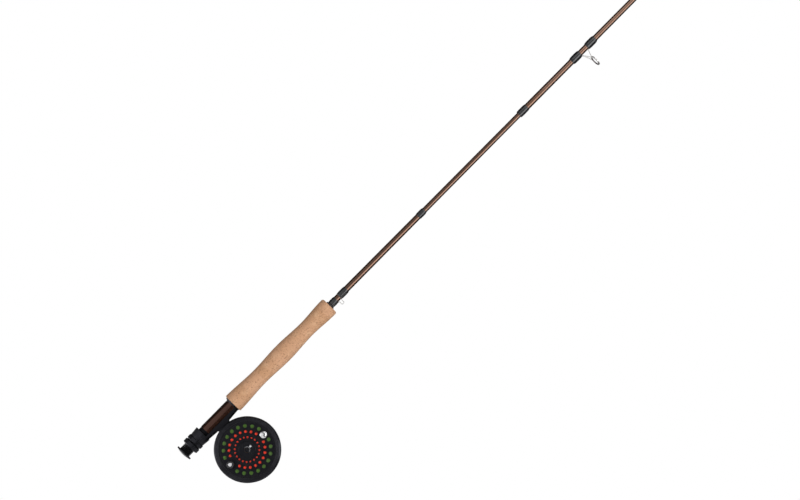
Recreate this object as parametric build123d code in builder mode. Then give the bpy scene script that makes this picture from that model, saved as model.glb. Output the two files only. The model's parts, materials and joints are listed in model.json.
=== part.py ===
from build123d import *
import math
import os

# A four-piece fly rod with a click-pawl fly reel on its seat.
# X runs along the rod from the rim of the butt cap to the tip, Z is up, and the reel hangs below
# the rod with its axle along Y and its handle on the -Y side. Sizes are in millimetres.

# Fits between pieces
glue_line = 0.05
running_clearance = 0.06
moving_clearance = 0.3
straight_within = 1e-6

# Reel seat, counted along the rod from the rim of the butt cap
cap_dome = 1.8
cap_flange_length = 1.6
cap_flange_rim = 3.2
cap_plug_length = 9.1
thread_reveal = 9.0
jam_nut_length = 6.4
lock_nut_length = 6.2
nut_wall = 3.5
nut_chamfer = 0.6
nut_shoulder_length = 1.0
nut_shoulder_drop = 0.8
hood_length = 11.1
hood_rear_wall = 2.55
hood_mouth_wall = 3.65
hood_groove_width = 0.7
hood_groove_depth = 0.35
hood_groove_drop = 3.4
collar_reveal = 5.0
barrel_d = 15.7
barrel_wall = 1.35
thread_pitch = 2.0
thread_depth = 0.5
insert_reveal = 46.6
insert_step = 0.45
arbor_length = 20.0
arbor_inset = 6.0
fixed_hood_lip = 2.0
fixed_hood_lip_wall = 1.7
fixed_hood_wall = 3.1
fixed_hood_depth = 8.0

# Cork grip: full wells, from its butt end to its nose
grip_rear_well = 48.5
grip_rear_rise = 42.0
grip_front_fall = 42.0
grip_front_rise = 37.0
grip_nose = 4.7
grip_nose_radius = 2.6
grip_butt_wall = 1.6
grip_rear_waist_d = 21.7
grip_swell_d = 24.9
grip_front_waist_d = 21.2
grip_front_d = 24.9
grip_butt_radius = 1.0
cork_rings = 14

# Blanks: outer diameters at their ends, and the walls of the sockets over the section below
butt_reveal = 604.7
section_reveal = 610.5
butt_blank_d = 8.2
butt_blank_top_d = 6.7
sleeve_wall = 0.625
sleeve_top_wall = 0.31
sleeve_top = 427.7
section_2_top_d = 5.2
section_3_top_d = 3.7
tip_end_d = 1.8
blank_wall = 0.7
ferrule_1_length = 50.0
ferrule_2_length = 42.0
ferrule_3_length = 34.0
ferrule_1_wall = 0.7
ferrule_2_wall = 0.475
ferrule_3_wall = 0.4
ferrule_clearance = 0.03
ferrule_relief = 3.0

# Thread wraps and line guides
wrap_ramp = 2.2
wrap_edge = 0.2
ferrule_wrap_length = 14.5
ferrule_wrap_crown = 0.7
check_length = 2.0
check_d = 12.0
check_nose_d = 10.5
keeper_lower_wrap = 9.5
keeper_gap = 5.2
keeper_upper_wrap = 13.2
keeper_wrap_crown = 0.65
keeper_wire_d = 0.8
keeper_height = 5.3
keeper_width = 3.7
keeper_bend = 1.0
trim_wrap_length = 11.5
trim_wrap_crown = 0.55
stripping_wrap_crown = 1.15
stripping_reach = 118.0
stripping_drop = 20.5
stripping_turn = 11.0
stripping_eye_d = 11.0
stripping_eye_wall = 0.8
stripping_eye_depth = 1.7
stripping_eye_radius = 0.25
stripping_ring_wall = 0.9
stripping_ring_depth = 1.1
stripping_wire_d = 1.0
stripping_leg_start = 7.0
stripping_leg_spread = 62.0
stripping_foot_length = 13.0
stripping_wrap_length = 15.5
section_2_guide_reach = 421.5
section_2_guide_count = 1
section_2_loop_d = 6.7
section_3_guide_reach = 55.5
section_3_guide_step = 225.0
section_3_guide_count = 3
section_3_loop_d = 6.4
tip_guide_reach = 61.5
tip_guide_step = 166.5
tip_guide_count = 4
tip_loop_d = 5.5
guide_step_drop = 19.5
loop_d_drop = 0.3
snake_wire_d = 0.9
snake_half_span = 5.0
snake_foot_length = 10.0
snake_wrap_length = 12.0
snake_wrap_crown = 1.1
tip_top_tube_length = 11.0
tip_top_tube_wall = 0.3
tip_top_loop_d = 6.2
tip_top_wire_d = 0.9

# Reel frame: its depths are counted along the axle, positive towards the handle
frame_d = 84.4
frame_width = 28.0
frame_rim = 6.2
frame_ring_depth = 4.5
frame_ring_bevel = 1.7
frame_plate_depth = 3.0
frame_plate_bevel = 1.2
rim_groove_count = 4
rim_groove_pitch = 1.0
rim_groove_width = 0.6
rim_groove_depth = 0.2
pillar_d = 5.0
pillar_inset = 3.5
pillar_steps = 5
tenon_d = 3.0
tenon_length = 2.4
frame_screw_d = 2.4
frame_screw_head_d = 4.6
frame_screw_head = 1.1
frame_screw_reach = 7.0
bridge_half_width = 9.0
bridge_depth = 4.6
bridge_screw_offset = 5.0

# Reel foot
foot_width = 12.6
foot_thickness = 3.75
foot_end_thickness = 2.05
foot_tip_thickness = 1.2
foot_rear_cover = 8.0
foot_front_cover = 7.0
foot_shoulder_thickness = 3.1
foot_stem_half = 9.0
foot_stem_slope = 3.0
foot_tip_radius = 4.5
foot_screw_d = 2.6
foot_screw_head_d = 4.4
foot_screw_head = 1.4
foot_screw_reach = 2.3

# Spool
spool_gap = 0.4
spool_face_depth = 1.6
spool_face_setback = 0.8
spool_face_step_rim = 2.8
spool_face_step = 0.3
spool_rim_width = 1.3
spool_rim_step = 0.8
spool_back_depth = 1.4
click_space = 3.0
spool_arbor_d = 23.0
spool_phase = -2.5
outer_hole_inset = 5.6
outer_hole_d = 5.0
middle_hole_d = 3.7
side_hole_count = 9
side_hole_step = 17.5
inner_hole_gap = 4.9
inner_hole_d = 2.4
inner_hole_count = 20
line_inset = 3.4
line_core_depth = 5.8
line_d = 1.1
line_turns = 10
gap_points_a_turn = 40
gap_skipped_turn = 0.6

# Axle, bushes, hub cap and spool latch
spindle_d = 7.0
spindle_shoulder_rim = 1.5
spindle_shoulder = 0.4
spindle_tail_d = 5.0
spindle_nose = 0.5
spindle_nut_d = 9.0
spindle_nut_depth = 2.4
bush_wall = 1.5
bush_length = 6.0
hub_cap_d = 21.4
hub_cap_depth = 1.9
hub_cap_bevel = 0.5
hub_screw_circle_d = 13.0
hub_screw_d = 1.8
hub_screw_head_d = 3.2
hub_screw_head = 0.6
hub_screw_reach = 4.0
latch_depth = 0.7
latch_clearance = 0.15
latch_travel = 1.2
latch_side = 0.4
latch_end = 1.2
latch_head = 6.9
latch_button_inset = 0.1
latch_button_d = 2.4
latch_button_proud = 0.9
latch_button_radius = 0.4
latch_spring_depth = 0.25
latch_spring_gap = 0.1
latch_spring_bow = 1.4

# Handle and counterweight
handle_inset = 7.8
handle_base_d = 10.7
handle_waist_d = 8.4
handle_end_d = 9.6
handle_length = 19.5
handle_pin_d = 3.0
handle_pin_head_d = 4.9
handle_pin_head = 1.2
counterweight_d = 9.0
counterweight_edge = 0.8
counterweight_dome = 1.8

# Click gear, pawls, spring and drag knob
gear_teeth = 24
gear_tip_d = 17.0
gear_root_d = 14.0
gear_clearance = 0.5
gear_depth = 2.3
pawl_reach = 7.2
pawl_tail_d = 6.0
pawl_side = 36.0
pawl_depth = 1.8
click_post_d = 2.9
spring_strip = 0.6
spring_overhang = 4.0
spring_post_d = 2.6
cam_d = 6.4
cam_throw = 0.5
drag_shaft_d = 4.0
drag_knob_d = 11.0
drag_knob_depth = 4.6
drag_knob_scallops = 16
drag_scallop_d = 1.4

# Diameters that follow from the barrel and from the frame
barrel_bore_d = barrel_d - 2 * barrel_wall
cap_flange_d = barrel_d + 2 * cap_flange_rim
nut_d = barrel_d + 2 * nut_wall
nut_shoulder_d = nut_d - 2 * nut_shoulder_drop
hood_rear_d = barrel_d + 2 * hood_rear_wall
hood_mouth_d = barrel_d + 2 * hood_mouth_wall
insert_d = barrel_d + 2 * insert_step
fixed_hood_lip_d = insert_d + 2 * fixed_hood_lip_wall
fixed_hood_d = insert_d + 2 * fixed_hood_wall
grip_butt_d = fixed_hood_d + 2 * grip_butt_wall
stripping_ring_seat_d = stripping_eye_d + 2 * stripping_eye_wall
stripping_ring_d = stripping_ring_seat_d + 2 * stripping_ring_wall
frame_ring_bore_d = frame_d - 2 * frame_rim
spool_d = frame_ring_bore_d - 2 * spool_gap
outer_holes_d = spool_d - 2 * outer_hole_inset
inner_holes_d = hub_cap_d + 2 * inner_hole_gap
middle_holes_d = (outer_holes_d + inner_holes_d) / 2
spool_face_step_d = inner_holes_d + 2 * spool_face_step_rim
handle_circle_d = spool_d - 2 * handle_inset
line_core_d = spool_d - 2 * line_inset
backing_d = line_core_d - 2 * line_core_depth
spindle_shoulder_d = spindle_d + 2 * spindle_shoulder_rim
bush_d = spindle_d + 2 * bush_wall
gear_bore_d = spindle_d + 2 * gear_clearance

# Places along the rod
cap_front = cap_flange_length
jam_nut_rear = cap_front + thread_reveal
jam_nut_front = jam_nut_rear + jam_nut_length
lock_nut_rear = jam_nut_front + moving_clearance
lock_nut_front = lock_nut_rear + lock_nut_length
hood_rear = lock_nut_front + moving_clearance
hood_mouth = hood_rear + hood_length
barrel_front = hood_mouth + collar_reveal
lip_rear = barrel_front + insert_reveal
grip_butt = lip_rear + fixed_hood_lip
fixed_hood_front = grip_butt + fixed_hood_depth
grip_rear_waist = grip_butt + grip_rear_well
grip_swell = grip_rear_waist + grip_rear_rise
grip_front_waist = grip_swell + grip_front_fall
grip_front = grip_front_waist + grip_front_rise
grip_nose_end = grip_front + grip_nose
check_front = grip_nose_end + check_length
keeper_gap_rear = check_front + keeper_lower_wrap
keeper_gap_front = keeper_gap_rear + keeper_gap
keeper_wrap_end = keeper_gap_front + keeper_upper_wrap
blank_butt = cap_front + cap_plug_length + glue_line
ferrule_1 = butt_reveal
ferrule_2 = ferrule_1 + section_reveal
ferrule_3 = ferrule_2 + section_reveal
rod_tip = ferrule_3 + section_reveal
stripping_guide = ferrule_1 + stripping_reach

# Places of the foot and the reel
foot_rear = hood_mouth - foot_rear_cover
foot_front = lip_rear + foot_front_cover
foot_seat_radius = insert_d / 2 + glue_line
reel_x = (foot_rear + foot_front) / 2
reel_z = -(foot_seat_radius + foot_thickness + glue_line + frame_d / 2)
ring_front = frame_width / 2
ring_back = ring_front - frame_ring_depth
plate_back = -frame_width / 2
plate_front = plate_back + frame_plate_depth
face_front = ring_front - spool_face_setback
face_back = face_front - spool_face_depth
spool_back_rear = plate_front + click_space
spool_back_front = spool_back_rear + spool_back_depth
hub_cap_front = face_front + hub_cap_depth
pillar_circle = frame_d / 2 - pillar_inset

reel_plane = Plane(origin=(reel_x, 0, reel_z), x_dir=(1, 0, 0), z_dir=(0, -1, 0))
reel_section = Plane(origin=(reel_x, 0, reel_z), x_dir=(0, -1, 0), z_dir=(-1, 0, 0))
reel_axis = Axis((reel_x, 0, reel_z), (0, -1, 0))


def taper(x, low, low_d, high, high_d):
    """Radius at x of a straight taper between two diameters."""
    return (low_d + (high_d - low_d) * (x - low) / (high - low)) / 2


def butt_radius(x):
    """Outer radius of the butt blank."""
    return taper(x, blank_butt, butt_blank_d, ferrule_1 + ferrule_1_length, butt_blank_top_d)


def sleeve_radius(x):
    """Outer radius of the sleeve over the lower part of the butt blank."""
    low_d = 2 * (butt_radius(blank_butt) + sleeve_wall)
    high_d = 2 * (butt_radius(sleeve_top) + sleeve_top_wall)
    return taper(x, blank_butt, low_d, sleeve_top, high_d)


def section_2_radius(x):
    """Outer radius of the second section, whose socket goes over the butt blank."""
    low_d = 2 * (butt_radius(ferrule_1) + ferrule_clearance + ferrule_1_wall)
    return taper(x, ferrule_1, low_d, ferrule_2 + ferrule_2_length, section_2_top_d)


def section_3_radius(x):
    """Outer radius of the third section, whose socket goes over the second."""
    low_d = 2 * (section_2_radius(ferrule_2) + ferrule_clearance + ferrule_2_wall)
    return taper(x, ferrule_2, low_d, ferrule_3 + ferrule_3_length, section_3_top_d)


def tip_radius(x):
    """Outer radius of the tip section, whose socket goes over the third."""
    low_d = 2 * (section_3_radius(ferrule_3) + ferrule_clearance + ferrule_3_wall)
    return taper(x, ferrule_3, low_d, rod_tip, tip_end_d)


def add_turned(outline):
    """Adds a solid turned about the rod axis from (x, radius) points to the open part."""
    with BuildSketch(Plane.XZ) as profile:
        with BuildLine():
            Polyline(*outline, close=True)
        make_face()
    revolve(profile.sketch, axis=Axis.X)


def turned(outline):
    """A piece turned about the rod axis from (x, radius) points."""
    with BuildPart() as piece:
        add_turned(outline)
    return piece


def add_reel_turned(outline):
    """Adds a solid turned about the reel's axle from (depth, radius) points to the open part."""
    with BuildSketch(reel_section) as profile:
        with BuildLine():
            Polyline(*outline, close=True)
        make_face()
    revolve(profile.sketch, axis=reel_axis)


def reel_turned(outline):
    """A piece turned about the reel's axle from (depth, radius) points."""
    with BuildPart() as piece:
        add_reel_turned(outline)
    return piece


def dome_radius(rim_radius, rise):
    """Radius of the ball that a dome of this rim and rise is part of."""
    return (rim_radius**2 + rise**2) / (2 * rise)


def spool_axis(point):
    """The line through a point of the spool's face, along the reel's axle."""
    return Axis((reel_x + point[0], 0, reel_z + point[1]), (0, -1, 0))


def axis_section(axis):
    """A plane along such a line, with depth and distance from the line as its directions."""
    return Plane(origin=axis.position, x_dir=(0, -1, 0), z_dir=(-1, 0, 0))


def level(depth):
    """A plane across the reel's axle at a depth along it."""
    return reel_plane.offset(depth)


def polar(radius, angle):
    """A point across the reel's axle, at an angle from the rod's direction."""
    return (radius * math.cos(math.radians(angle)), radius * math.sin(math.radians(angle)))


def write(piece, name):
    """Labels a finished piece and writes its file."""
    piece.part.label = name
    export_step(piece.part, f"parts/{name}.step")


def arc_middle(start, corner, end):
    """Middle of the arc that leaves start and reaches end along the two legs of a corner."""
    half_chord = (end - start).length / 2
    leg = (corner - start).length
    rise = math.sqrt(max(leg**2 - half_chord**2, 0.0))
    radius = leg * half_chord / rise
    middle = (start + end) / 2
    return middle + (corner - middle) * ((radius - math.sqrt(radius**2 - half_chord**2)) / rise)


def add_biarcs(stations):
    """Adds a smooth line of straight runs and tangent arcs through (point, direction) stations."""
    for (start, start_way), (end, end_way) in zip(stations, stations[1:]):
        chord = end - start
        ways = start_way + end_way
        bends = chord.cross(start_way).length + chord.cross(end_way).length
        if bends < straight_within:
            Line(start, end)
            continue
        a = ways.dot(ways) - 4
        b = -2 * chord.dot(ways)
        c = chord.dot(chord)
        leg = c / -b if abs(a) < straight_within else (-b - math.sqrt(b * b - 4 * a * c)) / (2 * a)
        first_corner = start + start_way * leg
        last_corner = end - end_way * leg
        joint = (first_corner + last_corner) / 2
        ThreePointArc(start, arc_middle(start, first_corner, joint), joint)
        ThreePointArc(joint, arc_middle(joint, last_corner, end), end)


def add_wire(stations, diameter):
    """Adds a round wire along (point, direction) stations to the open part and returns its path."""
    with BuildLine() as path:
        add_biarcs(stations)
    start, way = stations[0]
    with BuildSketch(Plane(origin=start, z_dir=way)) as profile:
        Circle(diameter / 2)
    sweep(profile.sketch, path=path.wire())
    return path.wire()


def least_gap(path, diameter, turn_length):
    """Least gap of a wound tube to itself, from points along its path."""
    count = gap_points_a_turn * int(path.length / turn_length)
    points = [path.position_at(i / count) for i in range(count + 1)]
    skip = int(gap_skipped_turn * turn_length * count / path.length)
    return min((p - q).length for i, p in enumerate(points) for q in points[i + skip :]) - diameter


def wrap_outline(low, high, radius, crown):
    """Outline of a thread wrap with ramped ends, over a tapered blank."""
    return [
        (low, radius(low) + glue_line),
        (low, radius(low) + glue_line + wrap_edge),
        (low + wrap_ramp, radius(low) + crown),
        (high - wrap_ramp, radius(high) + crown),
        (high, radius(high) + glue_line + wrap_edge),
        (high, radius(high) + glue_line),
    ]


def cut_foot_channel(low, high, drop, diameter):
    """Cuts the channel for a guide's foot out of the wraps of the open part."""
    with BuildSketch(Plane.YZ.offset(low)) as channel:
        with Locations((0, -drop)):
            Circle(diameter / 2 + glue_line)
    extrude(channel.sketch, amount=high - low, mode=Mode.SUBTRACT)


def foot_drop(low, radius, diameter):
    """Distance below the rod axis of a guide's foot that lies along the blank."""
    return radius(low) + glue_line + diameter / 2


os.makedirs("parts", exist_ok=True)

# Butt cap: a domed flange with a plug in the barrel
with BuildPart() as butt_cap:
    plug_end = cap_front + cap_plug_length
    plug_radius = barrel_bore_d / 2 - glue_line
    with BuildSketch(Plane.XZ):
        with BuildLine():
            Polyline((0, cap_flange_d / 2), (cap_front, cap_flange_d / 2), (cap_front, plug_radius))
            Polyline((cap_front, plug_radius), (plug_end, plug_radius), (plug_end, 0), (-cap_dome, 0))
            RadiusArc(
                (-cap_dome, 0),
                (0, cap_flange_d / 2),
                dome_radius(cap_flange_d / 2, cap_dome),
            )
        make_face()
    revolve(axis=Axis.X)
write(butt_cap, "butt_cap")

# Threaded barrel: the thread is drawn as rings at its pitch
thread_end = barrel_front - collar_reveal
thread_turns = int((thread_end - cap_front) / thread_pitch)
barrel_outline = [(cap_front, barrel_bore_d / 2), (cap_front, barrel_d / 2)]
for turn in range(thread_turns):
    groove = cap_front + (turn + 0.5) * thread_pitch
    barrel_outline += [
        (groove - thread_pitch / 4, barrel_d / 2),
        (groove, barrel_d / 2 - thread_depth),
        (groove + thread_pitch / 4, barrel_d / 2),
    ]
barrel_outline += [(barrel_front, barrel_d / 2), (barrel_front, barrel_bore_d / 2)]
threaded_barrel = turned(barrel_outline)
write(threaded_barrel, "threaded_barrel")

# Seat insert, from the barrel to the end of the fixed hood
insert_outline = [
    (barrel_front, barrel_bore_d / 2),
    (barrel_front, insert_d / 2),
    (fixed_hood_front, insert_d / 2),
    (fixed_hood_front, barrel_bore_d / 2),
]
write(turned(insert_outline), "seat_insert")

# Two arbors that centre the blank in the seat
with BuildPart() as seat_arbors:
    for low in (blank_butt + arbor_inset, fixed_hood_front - arbor_inset - arbor_length):
        high = low + arbor_length
        add_turned(
            [
                (low, sleeve_radius(low) + glue_line),
                (low, barrel_bore_d / 2 - glue_line),
                (high, barrel_bore_d / 2 - glue_line),
                (high, sleeve_radius(high) + glue_line),
            ]
        )
write(seat_arbors, "seat_arbors")


def foot_pocket(mouth, blind):
    """The room that a hood leaves for one end of the reel foot, rounded about the rod."""
    mouth_radius = foot_seat_radius + foot_end_thickness + moving_clearance
    blind_radius = foot_seat_radius + foot_tip_thickness + moving_clearance
    with BuildPart() as room:
        add_turned([(mouth, 0), (mouth, mouth_radius), (blind, blind_radius), (blind, 0)])
        with BuildSketch(Plane.XY):
            with Locations(((mouth + blind) / 2, 0)):
                Rectangle(abs(blind - mouth), foot_width + 2 * moving_clearance)
        extrude(amount=-mouth_radius, mode=Mode.INTERSECT)
    return room


# Fixed hood: a sleeve in the grip with a lip, whose pocket takes the front end of the foot
front_room = foot_pocket(lip_rear, foot_front + moving_clearance)
with BuildPart() as fixed_hood:
    add_turned(
        [
            (lip_rear, insert_d / 2 + glue_line),
            (lip_rear, fixed_hood_lip_d / 2),
            (grip_butt, fixed_hood_d / 2),
            (fixed_hood_front, fixed_hood_d / 2),
            (fixed_hood_front, insert_d / 2 + glue_line),
        ]
    )
    add(front_room.part, mode=Mode.SUBTRACT)
write(fixed_hood, "fixed_hood")

# Cork grip: a full wells profile of glued rings, bored for the blank and the fixed hood
with BuildPart() as cork_grip:
    with BuildSketch(Plane.XZ) as grip_section:
        with BuildLine():
            Polyline(
                (grip_front, grip_front_d / 2),
                (grip_nose_end, grip_front_d / 2),
                (grip_nose_end, sleeve_radius(grip_nose_end) + glue_line),
                (fixed_hood_front + glue_line, sleeve_radius(fixed_hood_front) + glue_line),
                (fixed_hood_front + glue_line, fixed_hood_d / 2 + glue_line),
                (grip_butt, fixed_hood_d / 2 + glue_line),
                (grip_butt, grip_butt_d / 2),
            )
            Spline(
                (grip_butt, grip_butt_d / 2),
                (grip_rear_waist, grip_rear_waist_d / 2),
                (grip_swell, grip_swell_d / 2),
                (grip_front_waist, grip_front_waist_d / 2),
                (grip_front, grip_front_d / 2),
                tangents=[(1, 0), (1, 0), (1, 0), (1, 0), (1, 0)],
            )
        make_face()
        nose_corner = grip_section.vertices().filter_by_position(
            Axis.X, grip_nose_end - glue_line, grip_nose_end + glue_line
        )
        fillet(nose_corner.sort_by(Axis.Z)[-1], radius=grip_nose_radius)
        butt_corner = grip_section.vertices().filter_by_position(
            Axis.X, grip_butt - glue_line, grip_butt + glue_line
        )
        fillet(butt_corner.sort_by(Axis.Z)[-1], radius=grip_butt_radius)
    revolve(axis=Axis.X)
    ring_length = (grip_nose_end - grip_butt) / cork_rings
    for joint in range(1, cork_rings):
        with BuildSketch(Plane.YZ.offset(grip_butt + joint * ring_length - glue_line / 2)):
            Circle(grip_butt_d)
        extrude(amount=glue_line, mode=Mode.SUBTRACT)
write(cork_grip, "cork_grip")

# Winding check, the ring that closes the nose of the grip
check_outline = [
    (grip_nose_end, sleeve_radius(grip_nose_end) + glue_line),
    (grip_nose_end, check_d / 2),
    (check_front, check_nose_d / 2),
    (check_front, sleeve_radius(check_front) + glue_line),
]
write(turned(check_outline), "winding_check")

# Butt blank, with its upper end as the male ferrule, and the sleeve over its lower part
butt_top = ferrule_1 + ferrule_1_length
butt_blank_outline = [
    (blank_butt, butt_radius(blank_butt) - blank_wall),
    (blank_butt, butt_radius(blank_butt)),
    (butt_top, butt_radius(butt_top)),
    (butt_top, butt_radius(butt_top) - blank_wall),
]
write(turned(butt_blank_outline), "butt_blank")
sleeve_outline = [
    (blank_butt, butt_radius(blank_butt) + glue_line),
    (blank_butt, sleeve_radius(blank_butt)),
    (sleeve_top, sleeve_radius(sleeve_top)),
    (sleeve_top, butt_radius(sleeve_top) + glue_line),
]
write(turned(sleeve_outline), "butt_sleeve")

# Hook keeper: a bent wire whose feet lie under two thread wraps
keeper_drop = foot_drop(check_front, sleeve_radius, keeper_wire_d)
keeper_middle = (keeper_gap_rear + keeper_gap_front) / 2
keeper_foot_rear = check_front + wrap_ramp
keeper_foot_front = keeper_wrap_end - wrap_ramp
with BuildPart() as hook_keeper:
    with BuildLine(Plane.XZ) as keeper_path:
        FilletPolyline(
            (keeper_foot_rear, -keeper_drop),
            (keeper_middle - keeper_width / 2, -keeper_drop),
            (keeper_middle - keeper_width / 2, -keeper_drop - keeper_height),
            (keeper_middle + keeper_width / 2, -keeper_drop - keeper_height),
            (keeper_middle + keeper_width / 2, -keeper_drop),
            (keeper_foot_front, -keeper_drop),
            radius=keeper_bend,
        )
    with BuildSketch(Plane.YZ.offset(keeper_foot_rear)):
        with Locations((0, -keeper_drop)):
            Circle(keeper_wire_d / 2)
    sweep(path=keeper_path.wire())
write(hook_keeper, "hook_keeper")

with BuildPart() as keeper_wraps:
    add_turned(wrap_outline(check_front, keeper_gap_rear, sleeve_radius, keeper_wrap_crown))
    add_turned(wrap_outline(keeper_gap_front, keeper_wrap_end, sleeve_radius, keeper_wrap_crown))
    cut_foot_channel(keeper_foot_rear - glue_line, keeper_foot_front + glue_line, keeper_drop, keeper_wire_d)
write(keeper_wraps, "keeper_wraps")

# Trim wrap over the step at the top of the sleeve
trim_low = sleeve_top - trim_wrap_length / 2
trim_high = sleeve_top + trim_wrap_length / 2
trim_step = sleeve_top + glue_line
trim_outline = [
    (trim_low, sleeve_radius(trim_low) + glue_line),
    (trim_low, sleeve_radius(trim_low) + glue_line + wrap_edge),
    (trim_low + wrap_ramp, sleeve_radius(sleeve_top) + trim_wrap_crown),
    (trim_high - wrap_ramp, sleeve_radius(sleeve_top) + trim_wrap_crown),
    (trim_high, butt_radius(trim_high) + glue_line + wrap_edge),
    (trim_high, butt_radius(trim_high) + glue_line),
    (trim_step, butt_radius(trim_step) + glue_line),
    (trim_step, sleeve_radius(trim_step) + glue_line),
]
write(turned(trim_outline), "trim_wrap")


def upper_section(low, high, radius, male_radius, socket_length):
    """A tapered tube whose lower end is a socket over the section below it."""
    socket_end = low + socket_length + ferrule_relief
    bore_start = socket_end + ferrule_relief
    return turned(
        [
            (low, male_radius(low) + ferrule_clearance),
            (low, radius(low)),
            (high, radius(high)),
            (high, radius(high) - blank_wall),
            (bore_start, radius(bore_start) - blank_wall),
            (socket_end, male_radius(socket_end) + ferrule_clearance),
        ]
    )


def tip_section():
    """The tip: a socket at its lower end, then solid to its upper end."""
    socket_end = ferrule_3 + ferrule_3_length + ferrule_relief
    tip_stop = rod_tip - tip_top_tube_length / 2
    return turned(
        [
            (ferrule_3, section_3_radius(ferrule_3) + ferrule_clearance),
            (ferrule_3, tip_radius(ferrule_3)),
            (tip_stop, tip_radius(tip_stop)),
            (tip_stop, 0),
            (socket_end + ferrule_relief, 0),
            (socket_end, section_3_radius(socket_end) + ferrule_clearance),
        ]
    )


section_2_top = ferrule_2 + ferrule_2_length
section_3_top = ferrule_3 + ferrule_3_length
section_2_blank = upper_section(
    ferrule_1, section_2_top, section_2_radius, butt_radius, ferrule_1_length
)
write(section_2_blank, "section_2_blank")
section_3_blank = upper_section(
    ferrule_2, section_3_top, section_3_radius, section_2_radius, ferrule_2_length
)
write(section_3_blank, "section_3_blank")
write(tip_section(), "tip_blank")

# Stripping guide: a two-footed wire frame that holds a hard eye ring below the rod, turned a little
stripping_foot_rear = stripping_guide - stripping_leg_start - stripping_foot_length
stripping_foot_drop = foot_drop(stripping_foot_rear, section_2_radius, stripping_wire_d)
stripping_frame_radius = (stripping_ring_d + stripping_ring_seat_d) / 4
stripping_rear = stripping_guide - stripping_leg_start
stripping_front = stripping_guide + stripping_leg_start / 2
stripping_sine = math.sin(math.radians(stripping_turn))
stripping_cosine = math.cos(math.radians(stripping_turn))
stripping_eye = Plane(
    origin=(stripping_guide, 0, -stripping_drop),
    x_dir=(0, 0, 1),
    z_dir=(stripping_cosine, stripping_sine, 0),
)


def add_rod(start, end, diameter):
    """Adds a straight round bar with ball ends to the open part."""
    way = Vector(*end) - Vector(*start)
    with BuildSketch(Plane(origin=start, z_dir=way)) as profile:
        Circle(diameter / 2)
    extrude(profile.sketch, amount=way.length)
    with Locations(start, end):
        Sphere(diameter / 2)


with BuildPart() as stripping_frame:
    with BuildSketch(stripping_eye):
        Circle(stripping_ring_d / 2)
        Circle(stripping_ring_seat_d / 2, mode=Mode.SUBTRACT)
    extrude(amount=stripping_ring_depth / 2, both=True)
    foot_line = -stripping_foot_drop
    rear_foot = (stripping_rear, 0, foot_line)
    front_foot = (stripping_front, 0, foot_line)
    add_rod((stripping_foot_rear, 0, foot_line), rear_foot, stripping_wire_d)
    add_rod(front_foot, (stripping_front + stripping_foot_length, 0, foot_line), stripping_wire_d)
    add_rod(front_foot, (stripping_guide, 0, -stripping_drop + stripping_frame_radius), stripping_wire_d)
    spread = math.radians(stripping_leg_spread)
    for side in (-1, 1):
        ring_side = side * stripping_frame_radius * math.sin(spread)
        ring_point = (
            stripping_guide - ring_side * stripping_sine,
            ring_side * stripping_cosine,
            -stripping_drop + stripping_frame_radius * math.cos(spread),
        )
        add_rod(rear_foot, ring_point, stripping_wire_d)
write(stripping_frame, "stripping_guide_frame")

with BuildPart() as stripping_ring:
    with BuildSketch(stripping_eye):
        Circle(stripping_ring_seat_d / 2 - glue_line)
        Circle(stripping_eye_d / 2, mode=Mode.SUBTRACT)
    extrude(amount=stripping_eye_depth / 2, both=True)
    fillet(stripping_ring.edges().filter_by(GeomType.CIRCLE), radius=stripping_eye_radius)
write(stripping_ring, "stripping_guide_ring")


# Snake guides: one wire loop each, set closer together and smaller towards the tip
def guide_places(first, step, count, loop_d):
    """Places and loop diameters of a section's snake guides, from its lower end up."""
    guides = []
    for index in range(count):
        guides.append((first, loop_d - index * loop_d_drop))
        first += step - index * guide_step_drop
    return guides


section_2_guides = guide_places(
    ferrule_1 + section_2_guide_reach, 0, section_2_guide_count, section_2_loop_d
)
section_3_guides = guide_places(
    ferrule_2 + section_3_guide_reach, section_3_guide_step, section_3_guide_count, section_3_loop_d
)
tip_guides = guide_places(ferrule_3 + tip_guide_reach, tip_guide_step, tip_guide_count, tip_loop_d)


def snake_stations(place, loop_d, drop):
    """Points and directions of a snake guide's wire, from its lower foot to its upper foot."""
    along = Vector(1, 0, 0)
    loop_r = loop_d / 2
    middle = -drop - loop_r
    advance = snake_half_span / math.pi
    quarter = snake_half_span / 2
    foot_end = snake_half_span + snake_foot_length
    return [
        (Vector(place - foot_end, 0, -drop), along),
        (Vector(place - snake_half_span, 0, -drop), along),
        (Vector(place - quarter, loop_r, middle), Vector(advance, 0, -loop_r).normalized()),
        (Vector(place, 0, middle - loop_r), Vector(advance, -loop_r, 0).normalized()),
        (Vector(place + quarter, -loop_r, middle), Vector(advance, 0, loop_r).normalized()),
        (Vector(place + snake_half_span, 0, -drop), along),
        (Vector(place + foot_end, 0, -drop), along),
    ]


def snake_drop(place, radius):
    """Distance below the rod axis of a snake guide's feet."""
    return foot_drop(place - snake_half_span - snake_foot_length, radius, snake_wire_d)


def snake_set(guides, radius):
    """The snake guides of one section."""
    with BuildPart() as wires:
        for place, loop_d in guides:
            add_wire(snake_stations(place, loop_d, snake_drop(place, radius)), snake_wire_d)
    return wires


def add_snake_wraps(guides, radius):
    """Adds the two thread wraps over the feet of each snake guide of a section."""
    inner = snake_half_span + snake_foot_length + wrap_ramp - snake_wrap_length
    for place, _ in guides:
        add_turned(
            wrap_outline(place - inner - snake_wrap_length, place - inner, radius, snake_wrap_crown)
        )
        add_turned(
            wrap_outline(place + inner, place + inner + snake_wrap_length, radius, snake_wrap_crown)
        )


def cut_snake_channels(guides, radius):
    """Cuts the channels for the snake guides' feet out of a section's wraps."""
    foot_end = snake_half_span + snake_foot_length + glue_line
    for place, _ in guides:
        cut_foot_channel(place - foot_end, place + foot_end, snake_drop(place, radius), snake_wire_d)


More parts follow.
